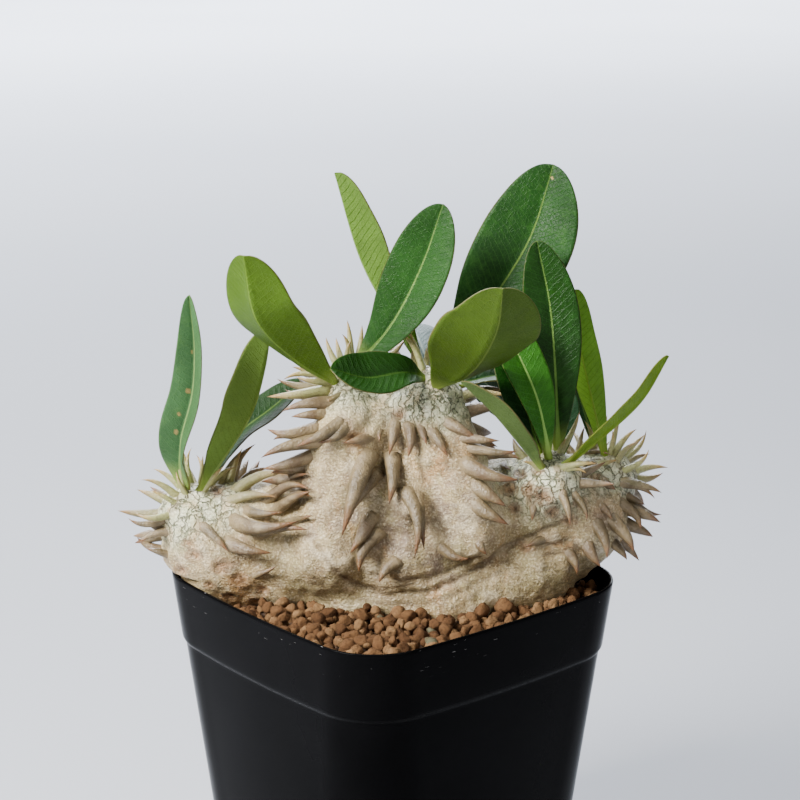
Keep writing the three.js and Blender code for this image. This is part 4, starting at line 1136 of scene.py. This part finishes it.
def caudex_material():
    p = Paint("caudex_skin")
    crown, relief = p.attribute("crown"), p.attribute("relief")
    fine = p.noise(1500, 2, 0.5)
    rust = p.noise(95, 4, 0.6, place=p.stretched(1.4, 1.4, 0.5))
    green = p.noise(75, 4, 0.6, place=p.stretched(1, 1, 0.8))
    blot = p.span(p.noise(210, 4, 0.6), 0.38, 0.6)
    wrinkle = p.noise(420, 3, 0.5, 0.8, place=p.stretched(1.0, 1.0, 2.4))
    # Cracks in the crowns' skin, and flakes all over
    shaken = p.shaken(330, 0.0032, p.stretched(1.25, 1.25, 0.6))
    cracks = p.span(p.voronoi(300, "DISTANCE_TO_EDGE", place=shaken), 0.02, 0.11, 1, 0)
    cracks = p.times(p.times(cracks, p.span(p.noise(170, 3), 0.3, 0.42)), crown)
    shaken = p.shaken(800, 0.0016, p.stretched(1.0, 1.0, 1.8))
    flakes = p.span(p.voronoi(560, "DISTANCE_TO_EDGE", place=shaken), 0.0, 0.1, 1, 0)
    flakes = p.times(flakes, p.span(p.noise(130, 3), 0.35, 0.55))
    mint = p.mix(p.span(p.noise(240, 4), 0.35, 0.65), (0.62, 0.66, 0.41), (0.90, 0.93, 0.68))
    mint = p.coats(mint, (p.span(rust, 0.5, 0.62), 0.6, (0.66, 0.47, 0.22)))
    pit = p.mix(p.span(p.noise(600, 3), 0.4, 0.6), (0.13, 0.065, 0.028), (0.40, 0.235, 0.12))
    colour = p.mix(p.span(p.noise(48, 4, 0.6), 0.35, 0.65), (0.35, 0.26, 0.12), (0.54, 0.42, 0.22))
    colour = p.coats(
        colour,
        (p.span(p.noise(150, 4, 0.55), 0.48, 0.7), 0.75, (0.32, 0.215, 0.13)),
        (p.span(rust, 0.56, 0.72), 0.6, (0.54, 0.27, 0.08)),
        (p.span(green, 0.48, 0.66), 0.45, (0.38, 0.35, 0.15)),
        (p.attribute("low"), 0.35, (0.42, 0.33, 0.16)),
        (p.times(p.attribute("mauve"), blot), 0.85, (0.255, 0.19, 0.15)),
        (p.times(p.attribute("rust"), blot), 0.8, (0.56, 0.29, 0.10)),
        # Painted shade in the hollows and painted highlight on the rises of the lumps, grain and warts.
        (p.span(relief, 0.42, 0.1), 0.28, (0.25, 0.165, 0.09)),
        (p.span(relief, 0.6, 1.0), 0.5, (0.76, 0.645, 0.43)),
        (crown, 0.85, mint),
        (cracks, 0.9, (0.055, 0.08, 0.03)),
        # Painted shade in the wrinkles' creases, where the bump sinks.
        (p.span(wrinkle, 0.44, 0.32), 0.3, (0.25, 0.17, 0.09)),
        (flakes, 0.3, (0.18, 0.115, 0.06)),
        # Fine flecks, paler where the fine bump rises and darker where it sinks: partly the skin's own
        # speckle, partly painted highlight and shade.
        (p.span(fine, 0.53, 0.64), 0.36, (0.90, 0.78, 0.53)),
        (p.span(fine, 0.46, 0.36), 0.36, (0.21, 0.145, 0.075)),
        # Painted shade along the folds and grooves.
        (p.attribute("fold"), 0.55, (0.15, 0.105, 0.06)),
        (p.attribute("scar"), 0.9, pit),
        # Painted shade round the roots of the spines.
        (p.span(p.attribute("mound"), 0.5, 1.0), 0.45, (0.24, 0.165, 0.085)),
    )
    rise = p.combine("ADD", p.times(fine, 0.24), p.times(p.noise(190, 2, 0.45), 0.7))
    for part, height in ((flakes, -0.1), (cracks, -0.4), (wrinkle, 0.24)):
        rise = p.combine("ADD", rise, p.times(part, height))
    return p.set(Base_Color=colour, Roughness=0.42, Normal=p.bump(rise, 0.9, 0.0018))


def spine_material():
    p = Paint("spine_bark")
    along, age = p.attribute("along"), p.attribute("age")
    rings = p.noise(1500, 4)
    colour = p.mix(p.span(age, 0.1, 0.9), (0.125, 0.093, 0.045), (0.155, 0.103, 0.055))
    young = p.mix(p.span(along, 0.3, 0.95), (0.36, 0.36, 0.14), (0.40, 0.24, 0.07))
    colour = p.coats(
        colour,
        (p.span(p.noise(190, 3), 0.45, 0.62), 1, (0.225, 0.167, 0.087)),
        (p.span(along, 0.28, 0.05), 1, (0.265, 0.20, 0.11)),
        (p.span(along, 0.55, 0.92), 1, (0.18, 0.075, 0.025)),
        (p.span(along, 0.9, 1.0), 1, (0.045, 0.02, 0.01)),
        (p.span(age, 0.0, -0.6), 1, young),
        (p.span(along, 0.86, 1.0), 1, (0.10, 0.045, 0.015)),
        (p.span(rings, 0.45, 0.7), 0.45, (0.13, 0.09, 0.04)),
        (p.span(p.noise(420, 4, 0.6), 0.55, 0.7), 0.4, (0.35, 0.28, 0.165)),
    )
    return p.set(Base_Color=colour, Roughness=0.34, Normal=p.bump(rings, 0.6, 0.0007), Specular_IOR_Level=0.6)


# Looks of the leaves, leaf_01 first: colours of the upper side, lower side, midrib and side veins, how strong
# those veins are, roughness and how much light comes through.
LEAF_LOOKS = [
    ((0.055, 0.145, 0.048), (0.09, 0.19, 0.05), (0.17, 0.28, 0.08), (0.08, 0.19, 0.05), 0.2, 0.5, 0.1),
    ((0.08, 0.19, 0.02), (0.20, 0.33, 0.06), (0.30, 0.42, 0.11), (0.14, 0.24, 0.03), 0.4, 0.5, 0.25),
    ((0.05, 0.14, 0.01), (0.075, 0.155, 0.006), (0.15, 0.25, 0.03), (0.12, 0.22, 0.02), 0.3, 0.5, 0.1),
    ((0.009, 0.04, 0.005), (0.05, 0.09, 0.02), (0.06, 0.11, 0.015), (0.02, 0.06, 0.008), 0.2, 0.45, 0.05),
    ((0.085, 0.205, 0.02), (0.18, 0.33, 0.05), (0.30, 0.46, 0.12), (0.075, 0.165, 0.012), 0.75, 0.5, 0.45),
    ((0.013, 0.066, 0.006), (0.12, 0.20, 0.03), (0.12, 0.22, 0.04), (0.028, 0.10, 0.012), 0.3, 0.5, 0.05),
    ((0.012, 0.058, 0.003), (0.08, 0.15, 0.02), (0.045, 0.11, 0.015), (0.018, 0.08, 0.006), 0.3, 0.4, 0.05),
    ((0.05, 0.13, 0.01), (0.060, 0.115, 0.006), (0.13, 0.19, 0.03), (0.09, 0.14, 0.012), 0.2, 0.55, 0.1),
    ((0.055, 0.10, 0.025), (0.09, 0.145, 0.04), (0.12, 0.18, 0.06), (0.10, 0.16, 0.045), 0.3, 0.5, 0.1),
    ((0.009, 0.055, 0.005), (0.10, 0.18, 0.02), (0.11, 0.20, 0.03), (0.035, 0.12, 0.015), 0.35, 0.5, 0.05),
    ((0.005, 0.035, 0.003), (0.04, 0.10, 0.01), (0.05, 0.11, 0.015), (0.015, 0.07, 0.01), 0.2, 0.45, 0.05),
    ((0.008, 0.05, 0.005), (0.05, 0.12, 0.015), (0.09, 0.17, 0.03), (0.02, 0.09, 0.01), 0.2, 0.45, 0.05),
    ((0.008, 0.043, 0.002), (0.08, 0.16, 0.02), (0.14, 0.26, 0.05), (0.02, 0.09, 0.01), 0.3, 0.45, 0.05),
    ((0.030, 0.155, 0.008), (0.10, 0.22, 0.03), (0.26, 0.46, 0.10), (0.05, 0.21, 0.015), 0.3, 0.42, 0.1),
    ((0.006, 0.05, 0.002), (0.06, 0.14, 0.015), (0.10, 0.20, 0.03), (0.02, 0.10, 0.01), 0.2, 0.45, 0.05),
    ((0.08, 0.21, 0.015), (0.22, 0.42, 0.045), (0.28, 0.42, 0.06), (0.12, 0.24, 0.012), 0.6, 0.5, 0.4),
    ((0.14, 0.28, 0.015), (0.17, 0.29, 0.012), (0.24, 0.34, 0.03), (0.11, 0.21, 0.01), 0.3, 0.5, 0.3),
    ((0.008, 0.05, 0.012), (0.04, 0.10, 0.03), (0.08, 0.16, 0.05), (0.02, 0.08, 0.02), 0.2, 0.45, 0.05),
    ((0.035, 0.07, 0.055), (0.06, 0.10, 0.07), (0.10, 0.14, 0.10), (0.05, 0.09, 0.07), 0.2, 0.45, 0.05),
    ((0.035, 0.07, 0.065), (0.06, 0.10, 0.08), (0.10, 0.14, 0.11), (0.05, 0.09, 0.075), 0.2, 0.45, 0.05),
]
EDGE_COLOUR = (0.20, 0.12, 0.05)
PETIOLE_COLOUR = (0.30, 0.40, 0.06)
SPOT_COLOUR = (0.30, 0.22, 0.07)


def dimmed(colour, share):
    return tuple(share * part for part in colour)


def leaf_material(name, upper_colour, lower_colour, rib_colour, vein_colour, veins, gloss, glow):
    p = Paint(name + "_blade")
    upper, share, out = p.attribute("upper"), p.attribute("share"), p.attribute("out")
    broad = p.span(p.noise(60, 3, 0.5), 0.35, 0.65)
    mottle = p.noise(310, 4, 0.6)
    under = p.mix(broad, dimmed(lower_colour, 0.8), lower_colour)
    under = p.coats(under, (p.span(mottle, 0.5, 0.36), 0.3, dimmed(lower_colour, 0.6)))
    over = p.mix(broad, dimmed(upper_colour, 0.7), upper_colour)
    over = p.coats(over, (p.span(mottle, 0.5, 0.68), 0.35, vein_colour))
    # Side veins, the net between them, dots on the lower side, and the midrib
    wobble = p.times(p.combine("SUBTRACT", p.noise(220, 2), 0.5), 0.5)
    wave = p.combine("PINGPONG", p.combine("ADD", p.attribute("vein"), wobble), 0.5)
    lines = p.times(p.times(p.span(wave, 0.02, 0.11, 1, 0), p.span(out, 0.55, 1.0, 1, 0.25)), veins)
    net = p.span(p.voronoi(900, "DISTANCE_TO_EDGE"), 0.0, 0.12, 1, 0)
    dots = p.times(p.span(p.voronoi(1500), 0.1, 0.3, 1, 0), p.combine("SUBTRACT", 1.0, upper))
    middle = p.times(p.span(p.attribute("rib"), 0.75, 1.25, 1, 0), p.span(share, 0.75, 1.0, 1, 0.45))
    colour = p.coats(
        p.mix(upper, under, over),
        (lines, 1, vein_colour),
        (net, 0.22, vein_colour),
        (dots, 0.4, dimmed(lower_colour, 0.35)),
        (middle, 1, rib_colour),
        (p.span(share, 0.04, 0.2, 1, 0), 0.8, PETIOLE_COLOUR),
        (p.span(out, 0.97, 1.0), 0.4, EDGE_COLOUR),
        (p.span(p.attribute("spot"), 0.3, 0.7), 1, SPOT_COLOUR),
    )
    rise = p.combine("SUBTRACT", p.times(net, 0.3), p.times(lines, 1.2))
    rise = p.combine("ADD", rise, p.times(p.noise(700, 3), 0.4))
    normal = p.bump(rise, 0.5, 0.0005)
    rough = p.span(p.noise(90, 2), 0.3, 0.7, gloss - 0.05, gloss + 0.08)
    material = p.set(Base_Color=colour, Roughness=rough, Normal=normal, Specular_IOR_Level=0.2)
    lit = p.add("ShaderNodeBsdfTranslucent", {"Color": colour, "Normal": normal})
    both = p.add("ShaderNodeMixShader", {0: glow, 1: p.shader.outputs[0], 2: lit})
    output = next(n for n in p.tree.nodes if n.type == "OUTPUT_MATERIAL")
    p.tree.links.new(both, output.inputs["Surface"])
    return material


def floor_material():
    p = Paint("pale_floor")
    colour = p.mix(p.span(p.noise(0.9, 2), 0.3, 0.7), (0.41, 0.425, 0.46), (0.45, 0.465, 0.50))
    return p.set(Base_Color=colour, Roughness=0.85, Normal=p.bump(p.noise(40, 3), 0.05, 0.001))


# Camera and light
CLIP_END = 60
# Each lamp: place in millimetres of the plant frame, where it aims, width, height, watts and colour.
LAMPS = {
    "key": ((-470, -320, 560), (0, 0, 140), 330, 300, 17, (1.0, 0.985, 0.96)),
    "fill": ((420, -520, 420), (0, 0, 130), 400, 300, 1.1, (1.0, 0.97, 0.94)),
    "top": ((-40, 240, 620), (0, 30, 140), 420, 420, 3.5, (0.98, 0.99, 1.0)),
    "back_left": ((-720, 900, 700), (-520, 900, 0), 700, 700, 6, (0.90, 0.935, 1.0)),
    "middle": ((-1300, 2300, 1300), (-1200, 2300, 0), 1600, 1600, 95, (0.88, 0.925, 1.0)),
    "far": ((150, 4200, 1900), (150, 4200, 0), 3600, 2400, 610, (0.88, 0.925, 1.0)),
}
WORLD_COLOUR = (0.80, 0.84, 0.92)
WORLD_STRENGTH = 0.17
FLOOR_REACH = 9.0


def turned(point):
    return Vector(to_part(np.array([point], float))[0])


def make_camera():
    camera = bpy.data.objects.new("photo_camera", bpy.data.cameras.new("photo_camera"))
    camera.data.lens = FOCAL_PIXELS / PHOTO_SIZE * SENSOR
    camera.data.sensor_width = SENSOR
    camera.data.clip_end = CLIP_END
    spin = Matrix.Rotation(PLANT_TURN, 3, "Z")
    axes = [spin @ Vector(v) for v in (EYE_RIGHT, EYE_UP, -EYE_FORWARD)]
    matrix = Matrix(axes).transposed().to_4x4()
    matrix.translation = turned(EYE)
    camera.matrix_world = matrix
    bpy.context.scene.collection.objects.link(camera)
    bpy.context.scene.camera = camera


def make_lights():
    for name, (place, aim, width, height, power, colour) in LAMPS.items():
        light = bpy.data.lights.new(name, "AREA")
        light.shape = "RECTANGLE"
        light.size = width * MM
        light.size_y = height * MM
        light.energy = power
        light.color = colour
        lamp = bpy.data.objects.new(name, light)
        lamp.location = turned(place)
        lamp.rotation_euler = (turned(aim) - turned(place)).to_track_quat("-Z", "Y").to_euler()
        bpy.context.scene.collection.objects.link(lamp)
    world = bpy.data.worlds.new("studio")
    world.use_nodes = True
    background = world.node_tree.nodes["Background"]
    background.inputs["Color"].default_value = (*WORLD_COLOUR, 1)
    background.inputs["Strength"].default_value = WORLD_STRENGTH
    bpy.context.scene.world = world


def make_floor():
    corners = [(x * FLOOR_REACH, y * FLOOR_REACH, 0) for x, y in ((-1, -1), (1, -1), (1, 1), (-1, 1))]
    floor = make_object("floor", corners, [(0, 1, 2, 3)], smooth=False)
    floor.data.materials.append(floor_material())


def make_plant():
    spines = all_spines()
    points, faces, masks = spine_mesh(spines)
    thorns = make_object("caudex_spines", boxed(to_part(points)), faces)
    dress(thorns, "caudex_skin", spine_material(), "caudex", **masks)
    points, faces = skin()
    points, masks = sculpt(points, spines)
    body = make_object("caudex_body", boxed(to_part(points)), faces)
    dress(body, "caudex_skin", caudex_material(), "caudex", **masks)
    for number, (shape, look) in enumerate(zip(LEAVES, LEAF_LOOKS), 1):
        name = f"leaf_{number:02d}"
        points, faces, masks = leaf_mesh(LEAF_SEED + number, *shape)
        masks["spot"] = patches(pixels_of(points), LEAF_SPOTS.get(number, []), 1.0)
        blade = make_object(name + "_blade", boxed(to_part(points)), faces)
        dress(blade, "leaf", leaf_material(name, *look), name, **masks)


def make_soil():
    inset = POT_WALL + CLEARANCE
    levels = [POT_FLOOR + CLEARANCE, LEDGE - HALF_SLOPE, LEDGE + HALF_SLOPE, SOIL_TOP]
    points, faces = loft([pot_at(z, inset) for z in levels])
    block = make_object("soil_block", points * MM, faces, smooth=False)
    dress(block, "granules", soil_material(), "substrate")
    material = granule_material()
    for name, settings in GRANULE_LAYERS.items():
        points, faces, tones = granules(*settings)
        grains = make_object(name, to_part(points), faces)
        dress(grains, "granules", material, "substrate", tone=tones)


make_camera()
make_lights()
make_floor()
dress(make_pot(), "black_plastic", pot_material(), "pot")
make_soil()
make_plant()
